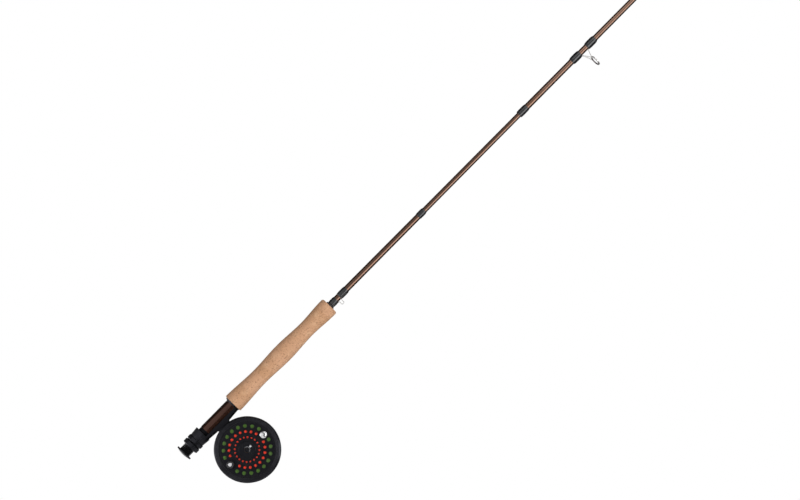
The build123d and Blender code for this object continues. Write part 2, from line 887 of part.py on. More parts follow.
write(snake_set(section_2_guides, section_2_radius), "section_2_snake_guide")
write(snake_set(section_3_guides, section_3_radius), "section_3_snake_guides")
write(snake_set(tip_guides, tip_radius), "tip_snake_guides")

# Thread wraps of the three upper sections: ferrule wraps and guide wraps
with BuildPart() as section_2_wraps:
    add_turned(
        wrap_outline(ferrule_1, ferrule_1 + ferrule_wrap_length, section_2_radius, ferrule_wrap_crown)
    )
    rear_wrap = stripping_rear - stripping_wrap_length
    front_wrap = stripping_front + stripping_wire_d
    for low in (rear_wrap, front_wrap):
        add_turned(wrap_outline(low, low + stripping_wrap_length, section_2_radius, stripping_wrap_crown))
    add_snake_wraps(section_2_guides, section_2_radius)
    cut_foot_channel(
        stripping_foot_rear - stripping_wire_d,
        stripping_front + stripping_foot_length + stripping_wire_d,
        stripping_foot_drop,
        stripping_wire_d,
    )
    cut_snake_channels(section_2_guides, section_2_radius)
write(section_2_wraps, "section_2_wraps")

with BuildPart() as section_3_wraps:
    add_turned(
        wrap_outline(ferrule_2, ferrule_2 + ferrule_wrap_length, section_3_radius, ferrule_wrap_crown)
    )
    add_snake_wraps(section_3_guides, section_3_radius)
    cut_snake_channels(section_3_guides, section_3_radius)
write(section_3_wraps, "section_3_wraps")

tip_tube_rear = rod_tip - tip_top_tube_length
with BuildPart() as tip_wraps:
    add_turned(
        wrap_outline(ferrule_3, ferrule_3 + ferrule_wrap_length, tip_radius, ferrule_wrap_crown)
    )
    add_snake_wraps(tip_guides, tip_radius)
    cut_snake_channels(tip_guides, tip_radius)
write(tip_wraps, "tip_wraps")

# Tip-top: a tube over the end of the tip with a wire loop brazed to it
with BuildPart() as tip_top:
    tube_bore = tip_radius(tip_tube_rear) + glue_line
    tube_radius = tube_bore + tip_top_tube_wall
    tube_front = rod_tip - tip_top_wire_d
    tube_stop = rod_tip - tip_top_tube_length / 2 + glue_line
    add_turned(
        [
            (tip_tube_rear, tube_bore),
            (tip_tube_rear, tube_radius),
            (tube_front, tube_radius),
            (tube_front, 0),
            (tube_stop, 0),
            (tube_stop, tube_bore),
        ]
    )
    loop_radius = tip_top_loop_d / 2
    loop_centre = Plane(origin=(tube_front - tip_top_wire_d / 2, 0, -loop_radius), z_dir=(1, 0, 0))
    with Locations(loop_centre.location):
        Torus(loop_radius, tip_top_wire_d / 2)
    brace_start = tube_radius + (tip_top_wire_d - tip_top_tube_wall) / 2
    for side in (-1, 1):
        add_rod(
            (tip_tube_rear + tip_top_wire_d, side * brace_start, 0),
            (tube_front - tip_top_wire_d / 2, side * loop_radius, -loop_radius),
            tip_top_wire_d,
        )
write(tip_top, "tip_top")

# Sliding hood: it flares towards its mouth, with the pocket for the rear end of the foot
rear_room = foot_pocket(hood_mouth, foot_rear - moving_clearance)
with BuildPart() as sliding_hood:
    hood_bore = barrel_d / 2 + running_clearance
    add_turned(
        [
            (hood_rear, hood_bore),
            (hood_rear, hood_rear_d / 2),
            (hood_mouth, hood_mouth_d / 2),
            (hood_mouth, hood_bore),
        ]
    )
    add(rear_room.part, mode=Mode.SUBTRACT)
    groove_reach = math.sqrt((hood_rear_d / 2) ** 2 - hood_groove_drop**2) - hood_groove_depth
    groove_length = hood_length - foot_end_thickness
    for side in (-1, 1):
        with BuildSketch(Plane.XY.offset(-hood_groove_drop - hood_groove_width / 2)):
            with Locations((hood_rear + groove_length / 2, side * (groove_reach + hood_mouth_d / 4))):
                Rectangle(groove_length, hood_mouth_d / 2)
        extrude(amount=hood_groove_width, mode=Mode.SUBTRACT)
write(sliding_hood, "sliding_hood")


def seat_nut(rear, front, shoulder):
    """A smooth round nut on the barrel, with a shoulder at its rear where it has one."""
    bore = barrel_d / 2 + running_clearance
    body_rear = rear + shoulder
    return turned(
        [
            (rear, bore),
            (rear, nut_shoulder_d / 2 - nut_chamfer),
            (body_rear, nut_shoulder_d / 2),
            (body_rear, nut_d / 2 - nut_chamfer),
            (body_rear + nut_chamfer, nut_d / 2),
            (front - nut_chamfer, nut_d / 2),
            (front, nut_d / 2 - nut_chamfer),
            (front, bore),
        ]
    )


write(seat_nut(lock_nut_rear, lock_nut_front, nut_shoulder_length), "lock_nut")
write(seat_nut(jam_nut_rear, jam_nut_front, nut_shoulder_length / 2), "jam_nut")

# Reel foot: a saddle bar along the seat, thick where it stands on the frame and thin at its ends
foot_edge = foot_end_thickness + foot_seat_radius
foot_shoulder = foot_shoulder_thickness + foot_seat_radius
stem_low = reel_z + math.sqrt((frame_d / 2) ** 2 - foot_stem_half**2)
bridge_top = reel_z + math.sqrt((frame_d / 2) ** 2 - bridge_screw_offset**2)
with BuildPart() as reel_foot:
    add_turned(
        [
            (foot_rear, foot_seat_radius),
            (foot_rear, foot_seat_radius + foot_tip_thickness),
            (hood_mouth, foot_edge),
            (reel_x - foot_stem_half - foot_stem_slope, foot_shoulder),
            (reel_x + foot_stem_half + foot_stem_slope, foot_shoulder),
            (lip_rear, foot_edge),
            (foot_front, foot_seat_radius + foot_tip_thickness),
            (foot_front, foot_seat_radius),
        ]
    )
    with BuildSketch(Plane.XY):
        with Locations((reel_x, 0)):
            RectangleRounded(foot_front - foot_rear, foot_width, foot_tip_radius)
    extrude(amount=-2 * foot_shoulder, mode=Mode.INTERSECT)
    with BuildSketch(Plane.XZ):
        with BuildLine():
            Polyline(
                (reel_x - foot_stem_half - foot_stem_slope, -foot_seat_radius),
                (reel_x - foot_stem_half, stem_low),
                (reel_x + foot_stem_half, stem_low),
                (reel_x + foot_stem_half + foot_stem_slope, -foot_seat_radius),
                close=True,
            )
        make_face()
    extrude(amount=foot_width / 2, both=True)
    with BuildSketch(Plane.YZ.offset(foot_rear)):
        Circle(foot_seat_radius)
    extrude(amount=foot_front - foot_rear, mode=Mode.SUBTRACT)
    with BuildSketch(level(-foot_width)):
        Circle(frame_d / 2 + glue_line)
    extrude(amount=2 * foot_width, mode=Mode.SUBTRACT)
    for side in (-1, 1):
        with BuildSketch(Plane.XY.offset(bridge_top)):
            with Locations((reel_x + side * bridge_screw_offset, 0)):
                Circle(foot_screw_d / 2 + glue_line)
        extrude(amount=foot_screw_reach + glue_line, both=True, mode=Mode.SUBTRACT)
write(reel_foot, "reel_foot")

# Frame pieces: the bridge under the foot and the round pillars join the front ring to the back plate
pillar_angles = [90 + 360 / (pillar_steps + 1) * step for step in range(1, pillar_steps + 1)]
pillar_points = [polar(pillar_circle, angle) for angle in pillar_angles]
bridge_rise = math.sqrt(pillar_circle**2 - bridge_screw_offset**2)
bridge_points = [(side * bridge_screw_offset, bridge_rise) for side in (-1, 1)]
frame_points = pillar_points + bridge_points


def add_frame_discs(low, high, diameter, points):
    """Adds round bars along the axle at each given point of the frame."""
    with BuildSketch(level(low)) as discs:
        with Locations(*points):
            Circle(diameter / 2)
    extrude(discs.sketch, amount=high - low)


def cut_frame_holes(low, high, diameter, points):
    """Cuts round holes along the axle at each given point of the frame."""
    with BuildSketch(level(low)) as holes:
        with Locations(*points):
            Circle(diameter / 2 + glue_line)
    extrude(holes.sketch, amount=high - low, mode=Mode.SUBTRACT)


with BuildPart() as frame_pillars:
    add_frame_discs(plate_front, ring_back, pillar_d, pillar_points)
    add_frame_discs(ring_back, ring_back + tenon_length, tenon_d, pillar_points)
    cut_frame_holes(plate_front, plate_front + frame_screw_reach, frame_screw_d, pillar_points)
write(frame_pillars, "frame_pillars")

bridge_inner = frame_d / 2 - bridge_depth
with BuildPart() as foot_bridge:
    with BuildSketch(level(plate_front)):
        Circle(frame_d / 2)
        Circle(bridge_inner, mode=Mode.SUBTRACT)
        with Locations((0, frame_d / 2)):
            Rectangle(2 * bridge_half_width, frame_d, mode=Mode.INTERSECT)
    extrude(amount=ring_back - plate_front)
    add_frame_discs(ring_back, ring_back + tenon_length, tenon_d, bridge_points)
    cut_frame_holes(plate_front, plate_front + frame_screw_reach, frame_screw_d, bridge_points)
    for side in (-1, 1):
        screw_place = (reel_x + side * bridge_screw_offset, 0)
        with BuildSketch(Plane.XY.offset(reel_z + bridge_inner - bridge_depth)):
            with Locations(screw_place):
                Circle(foot_screw_d / 2 + glue_line)
        extrude(amount=2 * bridge_depth, mode=Mode.SUBTRACT)
        with BuildSketch(Plane.XY.offset(reel_z + bridge_inner + foot_screw_head)):
            with Locations(screw_place):
                Circle(foot_screw_head_d / 2 + glue_line)
        extrude(amount=-bridge_depth, mode=Mode.SUBTRACT)
write(foot_bridge, "foot_bridge")

with BuildPart() as foot_screws:
    head_base = reel_z + bridge_inner + foot_screw_head
    with BuildSketch(Plane.XY.offset(head_base)):
        with Locations((reel_x - bridge_screw_offset, 0), (reel_x + bridge_screw_offset, 0)):
            Circle(foot_screw_head_d / 2)
    extrude(amount=-foot_screw_head)
    with BuildSketch(Plane.XY.offset(head_base)):
        with Locations((reel_x - bridge_screw_offset, 0), (reel_x + bridge_screw_offset, 0)):
            Circle(foot_screw_d / 2)
    extrude(amount=bridge_top + foot_screw_reach - head_base)
write(foot_screws, "foot_screws")

# Front ring, with fine grooves turned in its face
ring_outline = [
    (ring_back, frame_ring_bore_d / 2),
    (ring_back, frame_d / 2),
    (ring_front - frame_ring_bevel, frame_d / 2),
    (ring_front, frame_d / 2 - frame_ring_bevel),
]
for number in range(rim_groove_count):
    groove_radius = frame_d / 2 - frame_ring_bevel - (number + 0.5) * rim_groove_pitch
    ring_outline += [
        (ring_front, groove_radius + rim_groove_width / 2),
        (ring_front - rim_groove_depth, groove_radius),
        (ring_front, groove_radius - rim_groove_width / 2),
    ]
ring_outline.append((ring_front, frame_ring_bore_d / 2))
with BuildPart() as frame_front_ring:
    add_reel_turned(ring_outline)
    cut_frame_holes(ring_back, ring_back + tenon_length + glue_line, tenon_d, frame_points)
write(frame_front_ring, "frame_front_ring")

# Click mechanism places, on the inside of the back plate
gear_tip = gear_tip_d / 2
pawl_pivot = gear_tip + moving_clearance + pawl_reach
pawl_angles = {"pawl_left": -90 - pawl_side, "pawl_right": -90 + pawl_side}
pawl_points = [polar(pawl_pivot, angle) for angle in pawl_angles.values()]
spring_line = pawl_pivot + pawl_tail_d / 2 + moving_clearance + spring_strip / 2
spring_slope = math.cos(math.radians(pawl_side))
spring_apex = -spring_line / spring_slope
spring_post_rise = (spring_strip / 2 + moving_clearance + spring_post_d / 2) / spring_slope
spring_post = (0, spring_apex + spring_post_rise)
cam_centre = spring_apex - spring_strip / 2 / spring_slope - moving_clearance - cam_d / 2 - cam_throw
click_middle = plate_front + click_space / 2
click_back = click_middle - pawl_depth / 2
click_front = click_middle + pawl_depth / 2

with BuildPart() as frame_back_plate:
    add_reel_turned(
        [
            (plate_front, 0),
            (plate_front, frame_d / 2),
            (plate_back + frame_plate_bevel, frame_d / 2),
            (plate_back, frame_d / 2 - frame_plate_bevel),
            (plate_back, 0),
        ]
    )
    cut_frame_holes(plate_back, plate_front, frame_screw_d, frame_points)
    cut_frame_holes(plate_back, plate_back + frame_screw_head, frame_screw_head_d, frame_points)
    cut_frame_holes(plate_back, plate_front, spindle_tail_d, [(0, 0)])
    cut_frame_holes(plate_back, plate_front, click_post_d, pawl_points)
    cut_frame_holes(plate_back, plate_front, spring_post_d, [spring_post])
    with BuildSketch(level(plate_back)):
        with Locations((0, cam_centre)):
            Circle(drag_shaft_d / 2 + running_clearance)
    extrude(amount=frame_plate_depth, mode=Mode.SUBTRACT)
write(frame_back_plate, "frame_back_plate")

with BuildPart() as frame_screws:
    add_frame_discs(plate_back, plate_back + frame_screw_head, frame_screw_head_d, frame_points)
    add_frame_discs(
        plate_back + frame_screw_head,
        plate_front + frame_screw_reach - glue_line,
        frame_screw_d,
        frame_points,
    )
write(frame_screws, "frame_screws")

# Spindle: a fixed axle with a groove for the spool latch near its nose
latch_back = face_front + latch_clearance
latch_front = latch_back + latch_depth
latch_hole = spindle_d / 2 + moving_clearance
latch_half_width = latch_hole + latch_side
latch_tail = latch_hole + latch_travel + latch_end
latch_button_at = latch_head - latch_button_d / 2 - latch_button_inset
groove_radius = latch_hole - latch_travel - latch_clearance
spindle_outline = [
    (plate_back - spindle_nut_depth, 0),
    (plate_back - spindle_nut_depth, spindle_tail_d / 2),
    (plate_front, spindle_tail_d / 2),
    (plate_front, spindle_shoulder_d / 2),
    (plate_front + spindle_shoulder, spindle_shoulder_d / 2),
    (plate_front + spindle_shoulder, spindle_d / 2),
    (latch_back - latch_clearance, spindle_d / 2),
    (latch_back - latch_clearance, groove_radius),
    (latch_front + latch_clearance, groove_radius),
    (latch_front + latch_clearance, spindle_d / 2),
    (hub_cap_front + spindle_nose - glue_line, spindle_d / 2),
    (hub_cap_front + spindle_nose, spindle_d / 2 - spindle_nose),
    (hub_cap_front + spindle_nose, 0),
]
write(reel_turned(spindle_outline), "spindle")

with BuildPart() as spindle_nut:
    with BuildSketch(level(plate_back)):
        RegularPolygon(spindle_nut_d / 2, 6)
        Circle(spindle_tail_d / 2 + glue_line, mode=Mode.SUBTRACT)
    extrude(amount=-spindle_nut_depth)
write(spindle_nut, "spindle_nut")

# Click posts: two pivots for the pawls and one that holds the spring
with BuildPart() as click_posts:
    add_frame_discs(plate_back, click_front, click_post_d, pawl_points)
    add_frame_discs(plate_back, click_front, spring_post_d, [spring_post])
write(click_posts, "click_posts")

# Click spring: a bent strip whose arms press on the tails of the two pawls
with BuildPart() as click_spring:
    arm_run = spring_line * math.tan(math.radians(pawl_side)) + spring_overhang
    with BuildSketch(level(click_back)):
        with BuildLine():
            arm_end_x = arm_run * spring_slope
            arm_end_z = spring_apex + arm_run * math.sin(math.radians(pawl_side))
            Polyline((-arm_end_x, arm_end_z), (0, spring_apex), (arm_end_x, arm_end_z))
        trace(line_width=spring_strip)
    extrude(amount=pawl_depth)
write(click_spring, "click_spring")

# Pawls: each points its nose at the gear and rocks on its post
for pawl_name, pawl_angle in pawl_angles.items():
    with BuildPart() as pawl:
        pivot = polar(pawl_pivot, pawl_angle)
        with BuildSketch(level(click_back)):
            with Locations(Location((pivot[0], pivot[1], 0), (0, 0, pawl_angle + 180))):
                Circle(pawl_tail_d / 2)
                Polygon(
                    (pawl_reach, 0),
                    (0, pawl_tail_d / 2),
                    (0, -pawl_tail_d / 2),
                    align=None,
                )
                Circle(click_post_d / 2 + running_clearance, mode=Mode.SUBTRACT)
        extrude(amount=pawl_depth)
    write(pawl, pawl_name)

# Drag knob and its cam, which carries the bend of the spring
with BuildPart() as drag_knob:
    knob_front = plate_back - moving_clearance
    with BuildSketch(level(knob_front)):
        with Locations((0, cam_centre)):
            Circle(drag_knob_d / 2)
            with PolarLocations(drag_knob_d / 2, drag_knob_scallops):
                Circle(drag_scallop_d / 2, mode=Mode.SUBTRACT)
    extrude(amount=-drag_knob_depth)
    with BuildSketch(level(knob_front)):
        with Locations((0, cam_centre)):
            Circle(drag_shaft_d / 2)
    extrude(amount=click_front - knob_front)
write(drag_knob, "drag_knob")

with BuildPart() as drag_cam:
    with BuildSketch(level(click_back)):
        with Locations((0, cam_centre + cam_throw)):
            Circle(cam_d / 2)
        with Locations((0, cam_centre)):
            Circle(drag_shaft_d / 2 + glue_line, mode=Mode.SUBTRACT)
    extrude(amount=pawl_depth)
write(drag_cam, "drag_cam")

# Spool: a drilled face, a plain back and an arbor between them
handle_point = polar(handle_circle_d / 2, spool_phase + 180)
counterweight_point = polar(handle_circle_d / 2, spool_phase)
hub_screw_points = [(0, hub_screw_circle_d / 2), (0, -hub_screw_circle_d / 2)]
side_angles = [
    spool_phase + side * step * side_hole_step
    for side in (-1, 1)
    for step in range(1, side_hole_count + 1)
]


def cut_spool_holes(diameter, points):
    """Cuts round holes through the face of the spool in the open part."""
    with BuildSketch(level(face_back)) as holes:
        with Locations(*points):
            Circle(diameter / 2)
    extrude(holes.sketch, amount=spool_face_depth, mode=Mode.SUBTRACT)


with BuildPart() as spool_face:
    with BuildSketch(level(face_back)):
        Circle(spool_d / 2)
    extrude(amount=spool_face_depth)
    with BuildSketch(level(face_front - spool_face_step)):
        Circle(spool_face_step_d / 2)
        Circle(hub_cap_d / 2, mode=Mode.SUBTRACT)
    extrude(amount=spool_face_step, mode=Mode.SUBTRACT)
    with BuildSketch(level(face_front - spool_rim_step)):
        Circle(spool_d / 2)
        Circle(spool_d / 2 - spool_rim_width, mode=Mode.SUBTRACT)
    extrude(amount=spool_rim_step, mode=Mode.SUBTRACT)
    cut_spool_holes(outer_hole_d, [polar(outer_holes_d / 2, angle) for angle in side_angles])
    cut_spool_holes(middle_hole_d, [polar(middle_holes_d / 2, angle) for angle in side_angles])
    inner_step = 360 / inner_hole_count
    inner_angles = [spool_phase + (index + 0.5) * inner_step for index in range(inner_hole_count)]
    cut_spool_holes(inner_hole_d, [polar(inner_holes_d / 2, angle) for angle in inner_angles])
    cut_spool_holes(spindle_d + 2 * moving_clearance, [(0, 0)])
    cut_spool_holes(handle_pin_d + 2 * glue_line, [handle_point, counterweight_point])
    cut_spool_holes(hub_screw_d + 2 * glue_line, hub_screw_points)
write(spool_face, "spool_face")

with BuildPart() as spool_arbor:
    with BuildSketch(level(spool_back_front)):
        Circle(spool_arbor_d / 2)
        Circle(bush_d / 2 + glue_line, mode=Mode.SUBTRACT)
    extrude(amount=face_back - spool_back_front)
    cut_frame_holes(face_back - hub_screw_reach, face_back, hub_screw_d, hub_screw_points)
write(spool_arbor, "spool_arbor")

spool_back_outline = [
    (spool_back_rear, bush_d / 2 + glue_line),
    (spool_back_rear, spool_d / 2),
    (spool_back_front, spool_d / 2),
    (spool_back_front, bush_d / 2 + glue_line),
]
write(reel_turned(spool_back_outline), "spool_back")

with BuildPart() as spool_bushes:
    for bush_rear in (spool_back_front, face_back - bush_length):
        add_reel_turned(
            [
                (bush_rear, spindle_d / 2 + running_clearance),
                (bush_rear, bush_d / 2),
                (bush_rear + bush_length, bush_d / 2),
                (bush_rear + bush_length, spindle_d / 2 + running_clearance),
            ]
        )
write(spool_bushes, "spool_bushes")

with BuildPart() as click_gear:
    tooth_points = []
    for tooth in range(gear_teeth):
        tooth_points.append(polar(gear_tip_d / 2, tooth * 360 / gear_teeth))
        tooth_points.append(polar(gear_root_d / 2, (tooth + 0.5) * 360 / gear_teeth))
    with BuildSketch(level(spool_back_rear)):
        with BuildLine():
            Polyline(*tooth_points, close=True)
        make_face()
        Circle(gear_bore_d / 2, mode=Mode.SUBTRACT)
    extrude(amount=-gear_depth)
write(click_gear, "click_gear")

# Hub cap: it covers the latch, with a slot for the latch's button
pocket_front = latch_front + latch_clearance
pocket_head = latch_head + latch_travel + latch_clearance
spring_back = pocket_head + latch_spring_bow - latch_travel
with BuildPart() as hub_cap:
    add_reel_turned(
        [
            (face_front, spindle_d / 2 + moving_clearance),
            (face_front, hub_cap_d / 2),
            (hub_cap_front - hub_cap_bevel, hub_cap_d / 2),
            (hub_cap_front, hub_cap_d / 2 - hub_cap_bevel),
            (hub_cap_front, spindle_d / 2 + moving_clearance),
        ]
    )
    with BuildSketch(level(face_front)):
        pocket_low = -latch_tail - latch_clearance
        pocket_high = spring_back + latch_spring_depth + latch_spring_gap
        with Locations(((pocket_low + pocket_high) / 2, 0)):
            Rectangle(pocket_high - pocket_low, 2 * (latch_half_width + latch_clearance))
    extrude(amount=pocket_front - face_front, mode=Mode.SUBTRACT)
    with BuildSketch(level(face_front)):
        with Locations((latch_button_at + latch_travel / 2, 0)):
            button_clear = latch_button_d + 2 * latch_clearance
            SlotCenterToCenter(latch_travel, button_clear)
    extrude(amount=hub_cap_depth, mode=Mode.SUBTRACT)
    cut_frame_holes(face_front, hub_cap_front, hub_screw_d, hub_screw_points)
    cut_frame_holes(hub_cap_front - hub_screw_head, hub_cap_front, hub_screw_head_d, hub_screw_points)
write(hub_cap, "hub_cap")

with BuildPart() as hub_screws:
    add_frame_discs(hub_cap_front - hub_screw_head, hub_cap_front, hub_screw_head_d, hub_screw_points)
    add_frame_discs(
        face_back - hub_screw_reach + glue_line,
        hub_cap_front - hub_screw_head,
        hub_screw_d,
        hub_screw_points,
    )
write(hub_screws, "hub_screws")

# Spool latch: a plate whose round hole bites into the spindle's groove until the button is pushed
with BuildPart() as spool_latch:
    with BuildSketch(level(latch_back)):
        with Locations(((latch_head - latch_tail) / 2, 0)):
            Rectangle(latch_head + latch_tail, 2 * latch_half_width)
        with Locations((-latch_travel, 0)):
            Circle(latch_hole, mode=Mode.SUBTRACT)
    extrude(amount=latch_depth)
    with BuildSketch(level(latch_front)):
        with Locations((latch_button_at, 0)):
            Circle(latch_button_d / 2)
    extrude(amount=hub_cap_front + latch_button_proud - latch_front)
    fillet(spool_latch.edges().group_by(Axis.Y)[0], radius=latch_button_radius)
write(spool_latch, "spool_latch")

# Latch spring: a bowed strip between the latch's end and the pocket's wall
with BuildPart() as latch_spring:
    bow_front = latch_head + latch_spring_gap + latch_spring_depth / 2
    bow_end = latch_head + latch_spring_gap + latch_spring_bow
    with BuildSketch(level(latch_back)):
        with BuildLine():
            bow_reach = latch_half_width - latch_spring_depth
            ThreePointArc((bow_end, -bow_reach), (bow_front, 0), (bow_end, bow_reach))
        trace(line_width=latch_spring_depth)
    extrude(amount=latch_depth)
write(latch_spring, "latch_spring")

# Counterweight: a dome on a stem through the spool's face
counterweight_axis = spool_axis(counterweight_point)
with BuildPart() as counterweight:
    dome_low = face_front + counterweight_edge
    dome_top = dome_low + counterweight_dome
    with BuildSketch(axis_section(counterweight_axis)):
        with BuildLine():
            Polyline(
                (dome_top, 0),
                (face_back, 0),
                (face_back, handle_pin_d / 2),
                (face_front, handle_pin_d / 2),
                (face_front, counterweight_d / 2),
                (dome_low, counterweight_d / 2),
            )
            RadiusArc(
                (dome_low, counterweight_d / 2),
                (dome_top, 0),
                dome_radius(counterweight_d / 2, counterweight_dome),
            )
        make_face()
    revolve(axis=counterweight_axis)
write(counterweight, "counterweight")

# Handle: a waisted knob that turns on a headed pin
knob_rear = face_front + moving_clearance
knob_end = knob_rear + handle_length
pin_head = knob_end + moving_clearance
with BuildPart() as handle_pin:
    with BuildSketch(level(face_back)):
        with Locations(handle_point):
            Circle(handle_pin_d / 2)
    extrude(amount=pin_head - face_back)
    with BuildSketch(level(pin_head)):
        with Locations(handle_point):
            Circle(handle_pin_head_d / 2)
    extrude(amount=handle_pin_head)
    fillet(handle_pin.edges().group_by(Axis.Y)[0], radius=handle_pin_head / 2)
write(handle_pin, "handle_pin")

handle_axis = spool_axis(handle_point)
with BuildPart() as handle_knob:
    with BuildSketch(axis_section(handle_axis)):
        with BuildLine():
            knob_bore = handle_pin_d / 2 + running_clearance
            Polyline(
                (knob_end, handle_end_d / 2),
                (knob_end, knob_bore),
                (knob_rear, knob_bore),
                (knob_rear, handle_base_d / 2),
            )
            Spline(
                (knob_rear, handle_base_d / 2),
                (knob_rear + handle_length / 2, handle_waist_d / 2),
                (knob_end, handle_end_d / 2),
            )
        make_face()
    revolve(axis=handle_axis)
    fillet(handle_knob.edges().group_by(Axis.Y)[0].sort_by(SortBy.LENGTH)[-1], radius=handle_pin_head)
write(handle_knob, "handle_knob")

# Backing and line: the buried layers are plain, and the outer layer of the line is wound
layer_low = spool_back_front + glue_line
layer_high = face_back - glue_line
backing_outline = [
    (layer_low, spool_arbor_d / 2 + glue_line),
    (layer_low, backing_d / 2),
    (layer_high, backing_d / 2),
    (layer_high, spool_arbor_d / 2 + glue_line),
]
write(reel_turned(backing_outline), "backing")
line_core_outline = [
    (layer_low, backing_d / 2 + glue_line),
    (layer_low, line_core_d / 2),
    (layer_high, line_core_d / 2),
    (layer_high, backing_d / 2 + glue_line),
]
write(reel_turned(line_core_outline), "fly_line_core")


def winding_stations(radius, low, high, turns, straight):
    """Points and directions of a winding in half turns, with a straight run at each end."""
    stations = []
    pitch = (high - low) / turns
    lead = pitch / (2 * math.pi)
    for half_turn in range(2 * turns + 1):
        angle = math.pi * half_turn
        depth = low + pitch * half_turn / 2
        point = Vector(reel_x + radius * math.cos(angle), -depth, reel_z + radius * math.sin(angle))
        way = Vector(-radius * math.sin(angle), -lead, radius * math.cos(angle)).normalized()
        stations.append((point, way))
    first_point, first_way = stations[0]
    last_point, last_way = stations[-1]
    lead_in = (first_point - first_way * straight, first_way)
    lead_out = (last_point + last_way * straight, last_way)
    return [lead_in, *stations, lead_out]


winding_radius = line_core_d / 2 + line_d / 2 + running_clearance
winding_low = layer_low + line_d
winding_high = layer_high - line_d
with BuildPart() as fly_line_winding:
    winding_path = add_wire(
        winding_stations(winding_radius, winding_low, winding_high, line_turns, line_d), line_d
    )
write(fly_line_winding, "fly_line_winding")
gap = least_gap(winding_path, line_d, 2 * math.pi * winding_radius)
print(f"least gap of the wound line to itself: {gap:.2f} mm")
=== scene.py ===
"""Dresses a four-piece fly rod and its click-pawl reel, and sets the photograph's view."""

import json
import logging
import math
from dataclasses import dataclass
from enum import Enum
from typing import Any, Callable, Optional, Sequence

import bmesh
import bpy
from mathutils import Matrix, Vector, noise


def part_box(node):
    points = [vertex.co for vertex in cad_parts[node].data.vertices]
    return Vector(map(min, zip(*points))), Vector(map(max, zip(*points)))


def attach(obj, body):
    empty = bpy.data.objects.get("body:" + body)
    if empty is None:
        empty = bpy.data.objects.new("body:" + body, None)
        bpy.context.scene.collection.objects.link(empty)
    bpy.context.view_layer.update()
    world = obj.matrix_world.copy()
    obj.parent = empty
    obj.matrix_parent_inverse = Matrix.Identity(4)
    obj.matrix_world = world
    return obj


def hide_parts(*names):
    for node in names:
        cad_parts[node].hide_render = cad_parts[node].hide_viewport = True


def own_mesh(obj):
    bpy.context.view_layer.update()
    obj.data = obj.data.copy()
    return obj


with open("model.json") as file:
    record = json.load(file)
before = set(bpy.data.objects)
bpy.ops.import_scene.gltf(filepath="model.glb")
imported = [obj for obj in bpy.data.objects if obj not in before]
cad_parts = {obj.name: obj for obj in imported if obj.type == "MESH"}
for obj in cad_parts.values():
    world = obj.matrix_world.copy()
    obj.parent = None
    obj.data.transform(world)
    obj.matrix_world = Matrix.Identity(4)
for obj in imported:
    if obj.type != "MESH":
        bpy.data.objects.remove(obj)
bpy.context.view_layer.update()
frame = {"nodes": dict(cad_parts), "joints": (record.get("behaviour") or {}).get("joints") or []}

log = logging.getLogger("fly_rod")

Pair = tuple[float, float]
Names = tuple[str, ...]
Outline = list[Pair]
Relief = Callable[[float, float, float], float]
Tree = bpy.types.NodeTree
Socket = bpy.types.NodeSocket

MM = 0.001
SAME_PLACE = 1e-6
STATION = 1e-5
SHARP_EDGE = math.radians(40)
WHITE = (1.0, 1.0, 1.0, 1.0)
# Distance between the rings of a wave texture at a scale of 1
WAVE_PERIOD = math.pi / 10


def linear(colour: str) -> tuple[float, float, float, float]:
    """Turns an sRGB hex colour into linear light.

    Args:
        colour: six hex digits after a hash sign.

    Returns:
        Red, green and blue in linear light, with full alpha.
    """
    channels = [int(colour[i : i + 2], 16) / 255 for i in (1, 3, 5)]
    red, green, blue = [c / 12.92 if c <= 0.04045 else ((c + 0.055) / 1.055) ** 2.4 for c in channels]
    return red, green, blue, 1.0


def per_metre(size_mm: float) -> float:
    """Texture scale at which one feature is that many millimetres across."""
    return 1 / (size_mm * MM)


def add_node(
    tree: Tree,
    kind: str,
    settings: Optional[dict[Any, Any]] = None,
    links: Optional[dict[Any, Socket]] = None,
) -> bpy.types.Node:
    """Adds a shader node with its settings and links.

    Args:
        tree: the node tree of a material or of the world.
        kind: the node's type after "ShaderNode".
        settings: values for the node's properties, or for inputs by name or number.
        links: outputs of other nodes for inputs by name or number.

    Returns:
        The new node.
    """
    node = tree.nodes.new("ShaderNode" + kind)
    for key, value in (settings or {}).items():
        if isinstance(key, str) and hasattr(node, key):
            setattr(node, key, value)
        else:
            node.inputs[key].default_value = value
    for key, source in (links or {}).items():
        tree.links.new(source, node.inputs[key])
    return node


class Slot(Enum):
    """The record's material slots that new pieces belong to."""

    BLACK_ALUMINIUM = "black_aluminium"
    SEAT_INSERT = "seat_insert"
    CORK = "cork"
    BLANK = "blank"
    THREAD = "thread"
    BACKING = "backing"
    FLY_LINE = "fly_line"
    STEEL = "steel"


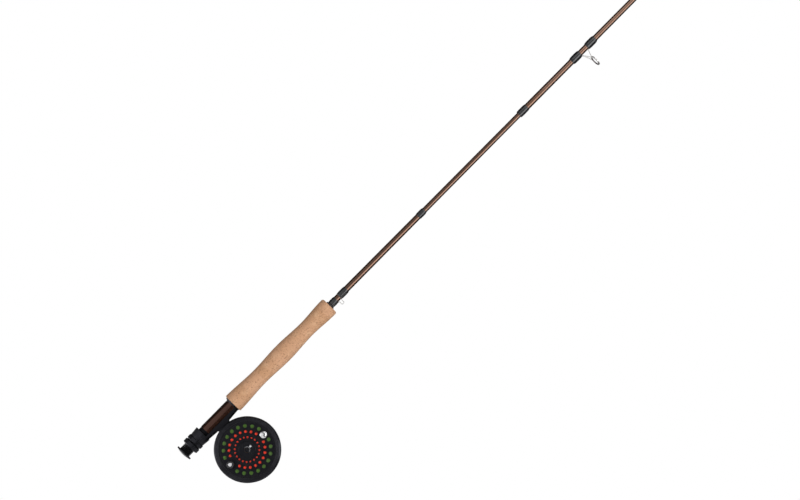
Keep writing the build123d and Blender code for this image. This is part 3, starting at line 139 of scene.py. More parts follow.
@dataclass(frozen=True)
class Finish:
    """A surface with two close shades in soft clouds, uneven gloss and a fine grain."""

    name: str
    colour: str
    second_colour: str
    roughness: float
    metallic: float = 0.0
    specular: float = 0.5
    coat: float = 0.0
    coat_roughness: float = 0.03
    mottle_mm: float = 5.0
    grain_mm: float = 0.5
    grain_depth_mm: float = 0.01
    uneven_gloss: float = 0.15
    cloud_range: Pair = (0.35, 0.65)

    def material(self) -> bpy.types.Material:
        """Builds the material, or finds it if it was built before.

        Returns:
            The material.
        """
        made = bpy.data.materials.get(self.name)
        if made:
            return made
        made = bpy.data.materials.new(self.name)
        made.use_nodes = True
        tree = made.node_tree
        shader = tree.nodes["Principled BSDF"].inputs
        shader["Metallic"].default_value = self.metallic
        shader["Specular IOR Level"].default_value = self.specular
        shader["Coat Weight"].default_value = self.coat
        shader["Coat Roughness"].default_value = self.coat_roughness
        place = add_node(tree, "TexCoord").outputs["Object"]
        clouds = add_node(
            tree, "TexNoise", {"Scale": per_metre(self.mottle_mm), "Detail": 3.0}, {"Vector": place}
        )
        dull, shiny = self.roughness * (1 + self.uneven_gloss), self.roughness * (1 - self.uneven_gloss)
        gloss = add_node(
            tree, "MapRange", {"To Min": shiny, "To Max": dull}, {"Value": clouds.outputs["Fac"]}
        )
        bump = add_node(
            tree, "Bump", {"Distance": self.grain_depth_mm * MM}, {"Height": self.height(tree, place)}
        )
        tree.links.new(self.tint(tree, place), shader["Base Color"])
        tree.links.new(gloss.outputs["Result"], shader["Roughness"])
        tree.links.new(bump.outputs["Normal"], shader["Normal"])
        return made

    def tint(self, tree: Tree, place: Socket) -> Socket:
        """Mixes the two shades.

        Args:
            tree: the material's nodes.
            place: the point on the surface, in metres.

        Returns:
            The colour.
        """
        clouds = add_node(
            tree, "TexNoise", {"Scale": per_metre(self.mottle_mm), "Detail": 4.0}, {"Vector": place}
        )
        low, high = self.cloud_range
        share = add_node(
            tree, "MapRange", {"From Min": low, "From Max": high}, {"Value": clouds.outputs["Fac"]}
        )
        shades = {"data_type": "RGBA", 6: linear(self.colour), 7: linear(self.second_colour)}
        return add_node(tree, "Mix", shades, {0: share.outputs["Result"]}).outputs[2]

    def height(self, tree: Tree, place: Socket) -> Socket:
        """Draws the grain.

        Args:
            tree: the material's nodes.
            place: the point on the surface, in metres.

        Returns:
            The height of the surface, from 0 to 1.
        """
        settings = {"Scale": per_metre(self.grain_mm), "Detail": 3.0}
        return add_node(tree, "TexNoise", settings, {"Vector": place}).outputs["Fac"]


@dataclass(frozen=True)
class AnodisedAluminium(Finish):
    """Bead-blasted and anodised aluminium, which wears to a paler edge; the paler edge is also a painted
    highlight.
    """

    wear_and_highlight_colour: str = "#58585B"
    edge_mm: float = 0.35
    edge_samples: int = 4
    edge_facing: Pair = (0.99, 0.75)
    wear_and_highlight: float = 0.5

    def tint(self, tree: Tree, place: Socket) -> Socket:
        """Mixes the two blacks, and paints the edges paler, as wear and as a painted highlight.

        Args:
            tree: the material's nodes.
            place: the point on the surface, in metres.

        Returns:
            The colour.
        """
        # Painted highlight with the wear: every edge is mixed towards a paler grey, whatever the light
        rounded = add_node(tree, "Bevel", {"samples": self.edge_samples, "Radius": self.edge_mm * MM})
        flat = add_node(tree, "NewGeometry")
        facing = add_node(
            tree,
            "VectorMath",
            {"operation": "DOT_PRODUCT"},
            {0: rounded.outputs["Normal"], 1: flat.outputs["Normal"]},
        )
        whole, rubbed_and_lit = self.edge_facing
        edge = add_node(
            tree,
            "MapRange",
            {"From Min": whole, "From Max": rubbed_and_lit, "To Max": self.wear_and_highlight},
            {"Value": facing.outputs["Value"]},
        )
        worn_and_highlit = {"data_type": "RGBA", 7: linear(self.wear_and_highlight_colour)}
        return add_node(
            tree, "Mix", worn_and_highlit, {0: edge.outputs["Result"], 6: super().tint(tree, place)}
        ).outputs[2]


@dataclass(frozen=True)
class TurnedAluminium(AnodisedAluminium):
    """Lathe-turned and anodised aluminium: fine rings round the reel's axle."""

    centre: tuple[float, float, float] = (0.0, 0.0, 0.0)
    ring_mm: float = 0.8
    waver: float = 0.6

    def height(self, tree: Tree, place: Socket) -> Socket:
        """Draws the tool marks, coarser than the real 0.1 mm so that they show.

        Args:
            tree: the material's nodes.
            place: the point on the surface, in metres.

        Returns:
            The height of the surface, from 0 to 1.
        """
        about = add_node(tree, "VectorMath", {"operation": "SUBTRACT", 1: self.centre}, {0: place})
        rings = {
            "wave_type": "RINGS",
            "rings_direction": "Y",
            "Scale": WAVE_PERIOD * per_metre(self.ring_mm),
            "Distortion": self.waver,
        }
        return add_node(tree, "TexWave", rings, {"Vector": about.outputs[0]}).outputs["Fac"]


@dataclass(frozen=True)
class SandedCork(Finish):
    """Sanded cork in glued rings: a warm tan with dark pits and a shade of its own in each ring."""

    pit_colour: str = "#7E5638"
    pale_colour: str = "#D8AC86"
    ring_start: float = 0.0
    ring_length: float = 1.0
    fleck_mm: float = 1.6
    pale_range: Pair = (0.52, 0.78)
    fleck_range: Pair = (0.58, 0.80)
    pit_rim_mm: float = 0.02
    pit_depth_mm: float = 0.22

    def tint(self, tree: Tree, place: Socket) -> Socket:
        """Mixes a cloudy tan for each ring, fine flecks, and dark pits where the surface dips.

        Args:
            tree: the material's nodes.
            place: the point on the surface, in metres.

        Returns:
            The colour.
        """
        along = add_node(tree, "SeparateXYZ", links={0: place}).outputs["X"]
        ends = {"From Min": self.ring_start, "From Max": self.ring_start + self.ring_length}
        ring = add_node(tree, "MapRange", {"clamp": False, **ends}, {"Value": along})
        number = add_node(tree, "Math", {"operation": "FLOOR"}, {0: ring.outputs["Result"]})
        shade = add_node(tree, "TexWhiteNoise", {"noise_dimensions": "1D"}, {"W": number.outputs[0]})
        tans = {"data_type": "RGBA", 6: linear(self.colour), 7: linear(self.second_colour)}
        colour = add_node(tree, "Mix", tans, {0: shade.outputs["Value"]}).outputs[2]
        cloud = {"Scale": per_metre(self.mottle_mm), "Detail": 5.0}
        fleck = {"Scale": per_metre(self.fleck_mm), "Detail": 2.0}
        layers = (
            (cloud, self.pale_range, self.pale_colour),
            (fleck, self.fleck_range, self.pit_colour),
        )
        for pattern, (low, high), paint in layers:
            spots = add_node(tree, "TexNoise", pattern, {"Vector": place})
            share = add_node(
                tree, "MapRange", {"From Min": low, "From Max": high}, {"Value": spots.outputs["Fac"]}
            )
            over = {"data_type": "RGBA", 7: linear(paint)}
            colour = add_node(tree, "Mix", over, {0: share.outputs["Result"], 6: colour}).outputs[2]
        dip = add_node(tree, "Attribute", {"attribute_name": "relief_mm"})
        pit = add_node(
            tree,
            "MapRange",
            {"From Min": -self.pit_rim_mm, "From Max": -self.pit_depth_mm},
            {"Value": dip.outputs["Fac"]},
        )
        over = {"data_type": "RGBA", 7: linear(self.pit_colour)}
        return add_node(tree, "Mix", over, {0: pit.outputs["Result"], 6: colour}).outputs[2]


@dataclass(frozen=True)
class Lacquered(Finish):
    """A stained or painted piece under gloss lacquer, with a straight grain along the rod."""

    stretch: float = 14.0

    def tint(self, tree: Tree, place: Socket) -> Socket:
        """Mixes the two shades in streaks along the rod.

        Args:
            tree: the material's nodes.
            place: the point on the surface, in metres.

        Returns:
            The colour.
        """
        shorter = {"operation": "MULTIPLY", 1: (1 / self.stretch, 1, 1)}
        drawn = add_node(tree, "VectorMath", shorter, {0: place})
        return super().tint(tree, drawn.outputs[0])


# Bead-blasted, black anodised: charcoal with a soft sheen, and edges painted paler as wear and as a
# painted highlight
BLACK_ALUMINIUM = AnodisedAluminium(
    "black_anodised_aluminium", "#27272B", "#2F2F33", 0.36, metallic=1.0, mottle_mm=4.0, grain_mm=0.6
)
# Fine-turned and black anodised: charcoal with a satin sheen that runs round the rim
SATIN_ALUMINIUM = AnodisedAluminium(
    "satin_anodised_rim", "#27272B", "#2E2E32", 0.34, metallic=1.0, mottle_mm=4.0, grain_mm=0.6
)
# Bead-blasted, hard anodised: a deeper black with a dull sheen
HARD_ALUMINIUM = AnodisedAluminium(
    "hard_anodised_aluminium",
    "#1E1E21",
    "#242428",
    0.40,
    metallic=1.0,
    mottle_mm=4.0,
    grain_mm=0.6,
    wear_and_highlight=0.3,
)
# Cut thread, hard anodised: nearly black, partly its finish and partly painted shade of the grooves
DARK_THREAD = AnodisedAluminium(
    "hard_anodised_thread_with_painted_shade", "#151517", "#1B1B1D", 0.45, metallic=1.0, mottle_mm=4.0, wear_and_highlight=0.15
)
# Moulded sleeve under metallic brown paint and clear gloss: brown only where it mirrors light
INSERT_PAINT = Lacquered(
    "metallic_brown_painted_insert",
    "#3F251B",
    "#472B20",
    0.28,
    metallic=0.9,
    specular=0.0,
    coat=0.4,
    coat_roughness=0.08,
    mottle_mm=1.2,
)
# Filament-wound carbon under metallic copper-brown paint and clear gloss: dark edges, bright stripes
BLANK_LACQUER = Lacquered(
    "copper_brown_coated_carbon",
    "#785744",
    "#805D49",
    0.24,
    metallic=1.0,
    specular=0.0,
    coat=1.0,
    coat_roughness=0.05,
    mottle_mm=0.9,
    grain_mm=0.8,
    grain_depth_mm=0.004,
)
# Nylon thread soaked in epoxy: near black, with the wet shine of the epoxy
THREAD_EPOXY = Finish(
    "black_thread_under_epoxy",
    "#0F1013",
    "#17181B",
    0.25,
    specular=0.4,
    coat=1.0,
    coat_roughness=0.05,
    mottle_mm=1.5,
    grain_mm=0.5,
    grain_depth_mm=0.02,
)
# Moulded rubber: soft matt black
CHECK_RUBBER = Finish("moulded_black_rubber", "#141416", "#1C1C1F", 0.55, mottle_mm=3.0)
# Drawn stainless wire, tumbled: bright, with faint draw marks
STEEL_WIRE = Finish(
    "drawn_stainless_wire", "#E2E0DE", "#D4D2D0", 0.34, metallic=1.0, mottle_mm=2.0, grain_depth_mm=0.004
)
# Fired and tumbled ceramic: dense grey with a soft gloss
EYE_CERAMIC = Finish(
    "tumbled_grey_ceramic", "#6C6464", "#5E5758", 0.34, mottle_mm=1.0, grain_depth_mm=0.002
)
# Zinc-plated steel: pale grey, a little cloudy
PLATED_STEEL = Finish("zinc_plated_steel", "#A9A9AB", "#919196", 0.30, metallic=1.0, mottle_mm=1.5)
# Blackened steel: dark grey with an oily sheen
BLACK_STEEL = Finish("oil_blackened_steel", "#1F1F22", "#28282B", 0.32, metallic=1.0, mottle_mm=1.5)
# Polished chrome plate: mirror bright, with fine hairlines that scatter it a little
CHROME = Finish(
    "polished_chrome", "#DADADB", "#C8C8CB", 0.10, metallic=1.0, mottle_mm=1.0, grain_depth_mm=0.002
)
# Sintered bronze: matt golden brown with a sandy grain
BRONZE = Finish(
    "sintered_bronze", "#8C6B3F", "#77582F", 0.45, metallic=1.0, mottle_mm=0.8, grain_mm=0.25
)
# Expanded polyurethane: pale, dull and open-celled
FOAM = Finish("polyurethane_foam", "#C9C2A8", "#B5AD92", 0.9, mottle_mm=1.2, grain_depth_mm=0.1)
# Injection-moulded nylon: black with a faint leathery grain
KNOB_NYLON = Finish(
    "moulded_black_nylon", "#17171A", "#1E1E21", 0.42, mottle_mm=3.0, grain_depth_mm=0.02
)
# Braided polyester: bright orange-red and dull
BACKING_BRAID = Finish(
    "braided_red_polyester", "#FF4C30", "#F04028", 0.75, mottle_mm=0.9, grain_mm=0.4, grain_depth_mm=0.08
)
# Plastic-coated fly line: moss green with a waxy gloss
LINE_COATING = Finish(
    "green_coated_fly_line", "#54792F", "#476828", 0.38, mottle_mm=2.5, grain_depth_mm=0.02
)


@dataclass(frozen=True)
class Axis:
    """A line that pieces are turned about, with the direction where angles start."""

    origin: Vector
    along: Vector
    start: Vector

    def point(self, distance: float, radius: float, angle: float) -> Vector:
        """The point at a distance along the line, a radius from it and an angle round it."""
        return self.origin + self.along * distance + self.outward(angle) * radius

    def outward(self, angle: float) -> Vector:
        """The direction away from the line at an angle round it."""
        return self.start * math.cos(angle) + self.along.cross(self.start) * math.sin(angle)

    def measure(self, point: Vector) -> Pair:
        """Measures a point.

        Args:
            point: a point in the frame.

        Returns:
            Its distance along the line and its radius from it.
        """
        offset = point - self.origin
        distance = offset.dot(self.along)
        return distance, (offset - self.along * distance).length


ROD = Axis(Vector((0, 0, 0)), Vector((1, 0, 0)), Vector((0, 0, 1)))
SPOOL_JOINT = next(joint for joint in frame["joints"] if joint["name"] == "spool_spin")
AXLE = Axis(Vector(SPOOL_JOINT["pos_m"]), Vector((0, -1, 0)), Vector((1, 0, 0)))


def solids(node: str) -> list[list[Vector]]:
    """Finds the separate solids of a CAD node.

    Args:
        node: the node's name.

    Returns:
        The corner points of each solid, in order along the rod.
    """
    cad = bmesh.new()
    cad.from_mesh(frame["nodes"][node].data)
    bmesh.ops.remove_doubles(cad, verts=cad.verts, dist=SAME_PLACE)
    waiting = set(cad.verts)
    groups = []
    while waiting:
        front = [waiting.pop()]
        group = []
        while front:
            vertex = front.pop()
            group.append(vertex.co.copy())
            near = {edge.other_vert(vertex) for edge in vertex.link_edges} & waiting
            waiting -= near
            front.extend(near)
        groups.append(group)
    cad.free()
    return sorted(groups, key=lambda group: min(point.x for point in group))


def profile(points: Sequence[Vector], axis: Axis) -> tuple[Outline, Outline]:
    """Measures a turned solid where it has corners.

    Args:
        points: the solid's corner points.
        axis: the line that it is turned about.

    Returns:
        The largest and the smallest radius at each station, as two outlines of (distance, radius).
    """
    stations: dict[int, list[float]] = {}
    for point in points:
        distance, radius = axis.measure(point)
        stations.setdefault(round(distance / STATION), []).append(radius)
    places = sorted(stations)
    outer = [(place * STATION, max(stations[place])) for place in places]
    inner = [(place * STATION, min(stations[place])) for place in places]
    return outer, inner


def spread(low: float, high: float, step: float) -> list[float]:
    """Divides a length evenly.

    Args:
        low: where it starts.
        high: where it ends.
        step: the longest distance between two places.

    Returns:
        The places, with both ends.
    """
    count = max(1, math.ceil((high - low) / step))
    return [low + (high - low) * i / count for i in range(count + 1)]


class Draft:
    """The points and faces of one piece while it is being made."""

    def __init__(self) -> None:
        """Starts with nothing."""
        self.points: list[Vector] = []
        self.relief_mm: list[float] = []
        self.faces: list[tuple[int, ...]] = []

    def skin(self, rows: Sequence[Sequence[Vector]], closed: bool) -> None:
        """Joins rows of points into a skin; a row of one point is a tip.

        Args:
            rows: rings of points, all of one length apart from tips.
            closed: whether the last row joins the first.
        """
        starts = []
        for row in rows:
            starts.append((len(self.points), len(row)))
            self.points.extend(row)
        self.relief_mm.extend([0.0] * (len(self.points) - len(self.relief_mm)))
        pairs = list(zip(starts, starts[1:] + starts[:1]))
        for (low, low_count), (high, high_count) in pairs if closed else pairs[:-1]:
            count = max(low_count, high_count)
            for i in range(count):
                j = (i + 1) % count
                if low_count == 1:
                    self.faces.append((low, high + i, high + j))
                elif high_count == 1:
                    self.faces.append((low + i, high, low + j))
                else:
                    self.faces.append((low + i, high + i, high + j, low + j))

    def turn(
        self, axis: Axis, outer: Outline, inner: Outline, segments: int, relief: Optional[Relief] = None
    ) -> None:
        """Turns a closed outline about a line.

        Args:
            axis: the line.
            outer: (distance, radius) points of the outside, from the low end to the high end.
            inner: the same for the bore.
            segments: the number of points round the line.
            relief: millimetres added to the outer radius at a distance, an angle and a radius.
        """
        angles = [2 * math.pi * i / segments for i in range(segments)]
        rows = []
        for number, (distance, radius) in enumerate([*outer, *reversed(inner)]):
            raised = [0.0] * segments
            if relief and number < len(outer):
                raised = [relief(distance, angle, radius) for angle in angles]
            rows.append([axis.point(distance, radius + up * MM, a) for up, a in zip(raised, angles)])
            self.relief_mm.extend(raised)
        self.skin(rows, closed=True)

    def tube(self, centres: Sequence[tuple[Vector, Vector, Vector]], radius: float, sides: int) -> None:
        """Runs a round tube with closed ends.

        Args:
            centres: points along the tube, each with the two directions across it.
            radius: half of the tube's diameter.
            sides: the number of points round it.
        """
        turns = [2 * math.pi * i / sides for i in range(sides)]
        rows = [[centres[0][0]]]
        for centre, across, over in centres:
            rows.append([centre + (across * math.cos(t) + over * math.sin(t)) * radius for t in turns])
        rows.append([centres[-1][0]])
        self.skin(rows, closed=False)

    def piece(self, name: str, finish: Finish, slot: Slot, body: str, *nodes: str) -> bpy.types.Object:
        """Makes the object, dresses it and sets it on its body in place of CAD nodes.

        Args:
            name: the piece's name.
            finish: its surface.
            slot: the record's slot that the finish belongs to; not used.
            body: the CAD body that it rides on.
            nodes: the CAD nodes that it stands for.

        Returns:
            The object.
        """
        mesh = bpy.data.meshes.new(name)
        mesh.from_pydata([tuple(point) for point in self.points], [], self.faces)
        made = bmesh.new()
        made.from_mesh(mesh)
        bmesh.ops.recalc_face_normals(made, faces=made.faces)
        for face in made.faces:
            face.smooth = True
        for edge in made.edges:
            edge.smooth = edge.calc_face_angle(0) < SHARP_EDGE
        made.to_mesh(mesh)
        made.free()
        mesh.attributes.new("relief_mm", "FLOAT", "POINT").data.foreach_set("value", self.relief_mm)
        mesh.materials.append(finish.material())
        thing = bpy.data.objects.new(name, mesh)
        bpy.context.scene.collection.objects.link(thing)
        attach(thing, body)
        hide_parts(*nodes)
        log.info("%s: %d points, in place of %s", name, len(mesh.vertices), ", ".join(nodes))
        return thing


def dress(finish: Finish, *nodes: str) -> None:
    """Gives CAD nodes that stay in view their finish.

    Args:
        finish: the surface.
        nodes: the nodes' names.
    """
    for node in nodes:
        for place in frame["nodes"][node].material_slots:
            place.material = finish.material()
        log.info("%s: %s", node, finish.name)


@dataclass
class ReelSeat:
    """The seat at the butt: a threaded barrel and an insert, with metal hoods and nuts."""

    thread_pitch: float = 2.0 * MM
    thread_depth_mm: float = 0.5
    thread_step: float = 0.25 * MM
    thread_share: float = 0.62
    segments: int = 72
    metal: Names = ("butt_cap", "sliding_hood", "lock_nut", "jam_nut", "fixed_hood")

    def build(self) -> None:
        """Makes the barrel and the insert and dresses the metal pieces."""
        self.barrel()
        self.insert()
        dress(BLACK_ALUMINIUM, *self.metal)
        dress(FOAM, "seat_arbors")

    def barrel(self) -> None:
        """The barrel, with a true helical thread up to the sliding hood's mouth."""
        outer, inner = profile(solids("threaded_barrel")[0], ROD)
        low, high = outer[0][0], outer[-1][0]
        crest, bore = max(r for _, r in outer), min(r for _, r in inner)
        thread_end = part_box("sliding_hood")[1].x

        def thread(distance: float, angle: float, radius: float) -> float:
            """Depth of the thread's groove, which runs out at both ends.

            Args:
                distance: the place along the rod.
                angle: the angle round it.
                radius: the radius of the barrel; not used.

            Returns:
                Millimetres below the crest, as a negative number.
            """
            turn = ((distance - low) / self.thread_pitch - angle / (2 * math.pi)) % 1.0
            groove = max(0.0, 1 - abs(turn - 0.5) * 2 / self.thread_share)
            to_end = min(distance - low, thread_end - distance)
            fade = min(1.0, to_end / self.thread_pitch)
            return -self.thread_depth_mm * groove * max(0.0, fade)

        draft = Draft()
        walls = [(place, crest) for place in spread(low, high, self.thread_step)]
        draft.turn(ROD, walls, [(low, bore), (high, bore)], self.segments, thread)
        draft.piece("barrel_thread", DARK_THREAD, Slot.BLACK_ALUMINIUM, "rod_butt", "threaded_barrel")

    def insert(self) -> None:
        """The smooth lacquered insert under the reel's foot."""
        outer, inner = profile(solids("seat_insert")[0], ROD)
        draft = Draft()
        draft.turn(ROD, outer, inner, self.segments)
        draft.piece("insert_sleeve", INSERT_PAINT, Slot.SEAT_INSERT, "rod_butt", "seat_insert")


@dataclass
class CorkGrip:
    """A full wells grip: cork rings glued together, turned and sanded, with open pits."""

    rings: int = 14
    places_mm: tuple[float, ...] = (0.0, 48.5, 90.5, 132.5, 169.5)
    # The butt is a hair under 26 mm, because the CAD's facets lie that much inside the true circle
    diameters_mm: tuple[float, ...] = (25.99, 21.7, 24.9, 21.2, 24.9)
    butt_radius: float = 1.0 * MM
    nose_radius: float = 2.6 * MM
    round_steps: int = 6
    step: float = 0.6 * MM
    segments: int = 168
    pit_mm: float = 1.5
    pit_flatness: float = 0.55
    pit_start: float = 0.40
    pit_depth_mm: float = 0.9
    seam_half_width: float = 0.25 * MM
    seam_depth_mm: float = 0.07

    def build(self) -> None:
        """Makes the grip and dresses the winding check at its nose."""
        low, high = (corner.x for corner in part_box("cork_grip"))
        hood_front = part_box("fixed_hood")[1].x
        hood_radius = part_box("fixed_hood")[1].z
        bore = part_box("butt_sleeve")[1].z
        ring = (high - low) / self.rings
        seams = [low + ring * number for number in range(1, self.rings)]

        def pits(distance: float, angle: float, radius: float) -> float:
            """Depth of the pits, and of the fine seams between the rings.

            Args:
                distance: the place along the rod.
                angle: the angle round it.
                radius: the radius of the grip.

            Returns:
                Millimetres below the sanded surface, as a negative number.
            """
            place = ROD.point(distance, radius, angle) / (self.pit_mm * MM)
            place.x /= self.pit_flatness
            dip = max(0.0, noise.noise(place) - self.pit_start) * self.pit_depth_mm
            at_seam = any(abs(distance - seam) < self.seam_half_width / 2 for seam in seams)
            return -dip - (self.seam_depth_mm if at_seam else 0.0)

        edges = [-self.seam_half_width, 0.0, self.seam_half_width]
        places = {seam + edge for seam in seams for edge in edges}
        places.update(spread(low + self.butt_radius, high - self.nose_radius, self.step))
        outer = self.corner(low, self.butt_radius, -1)
        outer += [(place, self.radius(place - low)) for place in sorted(places)]
        outer += self.corner(high, self.nose_radius, 1)
        inner = [(low, hood_radius), (hood_front, hood_radius), (hood_front, bore), (high, bore)]
        cork = SandedCork(
            "sanded_cork",
            "#C4946D",
            "#CD9D79",
            0.72,
            mottle_mm=9.0,
            grain_mm=0.7,
            grain_depth_mm=0.12,
            ring_start=low,
            ring_length=ring,
        )
        draft = Draft()
        draft.turn(ROD, outer, inner, self.segments, pits)
        draft.piece("cork_rings", cork, Slot.CORK, "rod_butt", "cork_grip")
        dress(CHECK_RUBBER, "winding_check")

    def radius(self, distance: float) -> float:
        """Follows the wells of the grip.

        Args:
            distance: the distance from the butt of the grip.

        Returns:
            The radius there.
        """
        place = distance / MM
        knots = list(zip(self.places_mm, self.diameters_mm))
        for (start, start_d), (end, end_d) in zip(knots, knots[1:]):
            if place <= end:
                share = max(0.0, (place - start) / (end - start))
                return (start_d + (end_d - start_d) * share * share * (3 - 2 * share)) / 2 * MM
        return self.diameters_mm[-1] / 2 * MM

    def corner(self, end: float, size: float, way: int) -> Outline:
        """Rounds a corner at one end of the grip.

        Args:
            end: the place of the end face.
            size: the radius of the corner.
            way: 1 for the nose and -1 for the butt.

        Returns:
            The corner's outline, from the low end to the high end.
        """
        full = self.diameters_mm[-1 if way > 0 else 0] / 2 * MM
        arc = []
        for i in range(self.round_steps + 1):
            angle = math.pi / 2 * i / self.round_steps
            arc.append((end - way * size * (1 - math.sin(angle)), full - size * (1 - math.cos(angle))))
        return arc if way > 0 else arc[::-1]


@dataclass
class RodSection:
    """One section of the rod: tapered tubes, thread wraps and the wire guides on them."""

    body: str
    tubes: Names
    wraps: Names
    wires: Names
    footless: Names = ()
    footless_first: bool = False
    tube_step: float = 40.0 * MM
    tube_segments: int = 48
    wrap_segments: int = 48
    thread: float = 0.5 * MM
    thread_depth_mm: float = 0.03
    steps_a_thread: int = 4
    shoulder: float = 3.0
    foot_rise_mm: float = 0.25
    foot_width: float = 0.35

    def build(self) -> None:
        """Makes the tubes and the wraps and dresses the wires."""
        for node in self.tubes:
            self.tube(node)
        for node in self.wraps:
            self.wrap(node)
        dress(STEEL_WIRE, *self.wires)

    def tube(self, node: str) -> None:
        """Makes a smooth tapered tube with its bore.

        Args:
            node: the CAD node that it stands for.
        """
        outer, inner = profile(solids(node)[0], ROD)
        (low, low_r), (high, high_r) = outer[0], outer[-1]
        places = spread(low, high, self.tube_step)
        walls = [(x, low_r + (high_r - low_r) * (x - low) / (high - low)) for x in places]
        draft = Draft()
        draft.turn(ROD, walls, inner, self.tube_segments)
        draft.piece(node + "_tube", BLANK_LACQUER, Slot.BLANK, self.body, node)

    def wrap(self, node: str) -> None:
        """Makes barrel-shaped thread wraps, each raised along the guide's foot under it.

        Args:
            node: the CAD node that they stand for.
        """
        draft = Draft()
        for number, points in enumerate(solids(node)):
            footless = node in self.footless or (self.footless_first and number == 0)
            inner = profile(points, ROD)[1]
            crown = max(abs(point.y) for point in points)
            self.wind(draft, inner[0], inner[-1], crown, 0.0 if footless else self.foot_rise_mm)
        draft.piece(node + "_windings", THREAD_EPOXY, Slot.THREAD, self.body, node)

    def wind(self, draft: Draft, low: Pair, high: Pair, crown: float, foot_mm: float) -> None:
        """Winds one wrap, with thread ridges drawn coarser than the real 0.2 mm so that they show.

        Args:
            draft: the piece that the wrap belongs to.
            low: place and radius of the rod at the wrap's lower end.
            high: the same at its upper end.
            crown: the wrap's largest radius.
            foot_mm: how far it rises over a guide's foot.
        """

        def swell(distance: float) -> float:
            """Rounds the wrap off towards both ends.

            Args:
                distance: the place along the rod.

            Returns:
                The share of the wrap's full height there.
            """
            share = 2 * (distance - low[0]) / (high[0] - low[0]) - 1
            return math.sqrt(max(0.0, 1 - abs(share) ** self.shoulder))

        def threads(distance: float, angle: float, radius: float) -> float:
            """Raises the thread's ridges, and the wrap over the foot below the rod.

            Args:
                distance: the place along the rod.
                angle: the angle round it.
                radius: the radius of the wrap; not used.

            Returns:
                Millimetres above the wrap's plain form.
            """
            ridge = math.sin(2 * math.pi * distance / self.thread - angle) * self.thread_depth_mm
            foot = math.exp(-(((angle - math.pi) / self.foot_width) ** 2)) * foot_mm
            return (ridge + foot) * swell(distance)

        outer = []
        for place in spread(low[0], high[0], self.thread / self.steps_a_thread):
            share = (place - low[0]) / (high[0] - low[0])
            base = low[1] + (high[1] - low[1]) * share
            outer.append((place, base + (crown - base) * swell(place)))
        draft.turn(ROD, outer, [low, high], self.wrap_segments, threads)


@dataclass
class Reel:
    """The reel: a fixed frame with its click work, and a drilled spool with a handle."""

    satin: Names = ("frame_front_ring", "frame_back_plate")
    turned: Names = ("spool_face", "spool_back", "spool_arbor", "hub_cap", "drag_knob")
    hard_anodised: Names = ("reel_foot", "foot_bridge", "frame_pillars")
    blackened: Names = ("spindle", "spindle_nut", "hub_screws", "frame_screws", "foot_screws")
    plated: Names = ("click_posts", "click_spring", "click_gear", "pawl_left", "pawl_right", "drag_cam")
    bright: Names = ("counterweight", "handle_pin", "spool_latch")
    leaf_thickness: float = 0.25 * MM
    leaf_rise: float = 1.275 * MM
    leaf_reach: float = 3.95 * MM
    leaf_steps: int = 24
    leaf_keep: float = 0.2

    def build(self) -> None:
        """Dresses the reel's pieces and makes the latch's spring."""
        turned = TurnedAluminium(
            "turned_black_aluminium",
            "#202024",
            "#262629",
            0.36,
            metallic=1.0,
            grain_depth_mm=0.006,
            centre=tuple(AXLE.origin),
        )
        dress(turned, *self.turned)
        dress(SATIN_ALUMINIUM, *self.satin)
        dress(HARD_ALUMINIUM, *self.hard_anodised)
        dress(BLACK_STEEL, *self.blackened)
        dress(PLATED_STEEL, *self.plated)
        dress(CHROME, *self.bright)
        dress(BRONZE, "spool_bushes")
        dress(KNOB_NYLON, "handle_knob")
        self.latch_leaf()

    def latch_leaf(self) -> None:
        """Bows the leaf spring of the latch in its resting shape; the real leaf flattens as the latch is
        pushed, and this shape stays bowed.
        """
        low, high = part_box("latch_spring")
        half_turn = 2 * math.atan(self.leaf_rise / self.leaf_reach)
        radius = self.leaf_reach / math.sin(half_turn)
        centre = Vector((low.x + self.leaf_thickness / 2 + radius, 0, (low.z + high.z) / 2))
        corners = ((0.5, low.y), (0.5, high.y), (-0.5, high.y), (-0.5, low.y))
        rows = []
        for step in range(self.leaf_steps + 1):
            turn = half_turn * (2 * step / self.leaf_steps - 1)
            outward = Vector((-math.cos(turn), 0, math.sin(turn)))
            edges = [(radius + side * self.leaf_thickness, y) for side, y in corners]
            rows.append([centre + outward * reach + Vector((0, y, 0)) for reach, y in edges])
        ends = [[sum(row, Vector()) / len(row)] for row in (rows[0], rows[-1])]
        draft = Draft()
        draft.skin([ends[0], *rows, ends[1]], closed=False)
        leaf = draft.piece("latch_leaf", PLATED_STEEL, Slot.STEEL, "spool", "latch_spring")
        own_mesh(leaf)


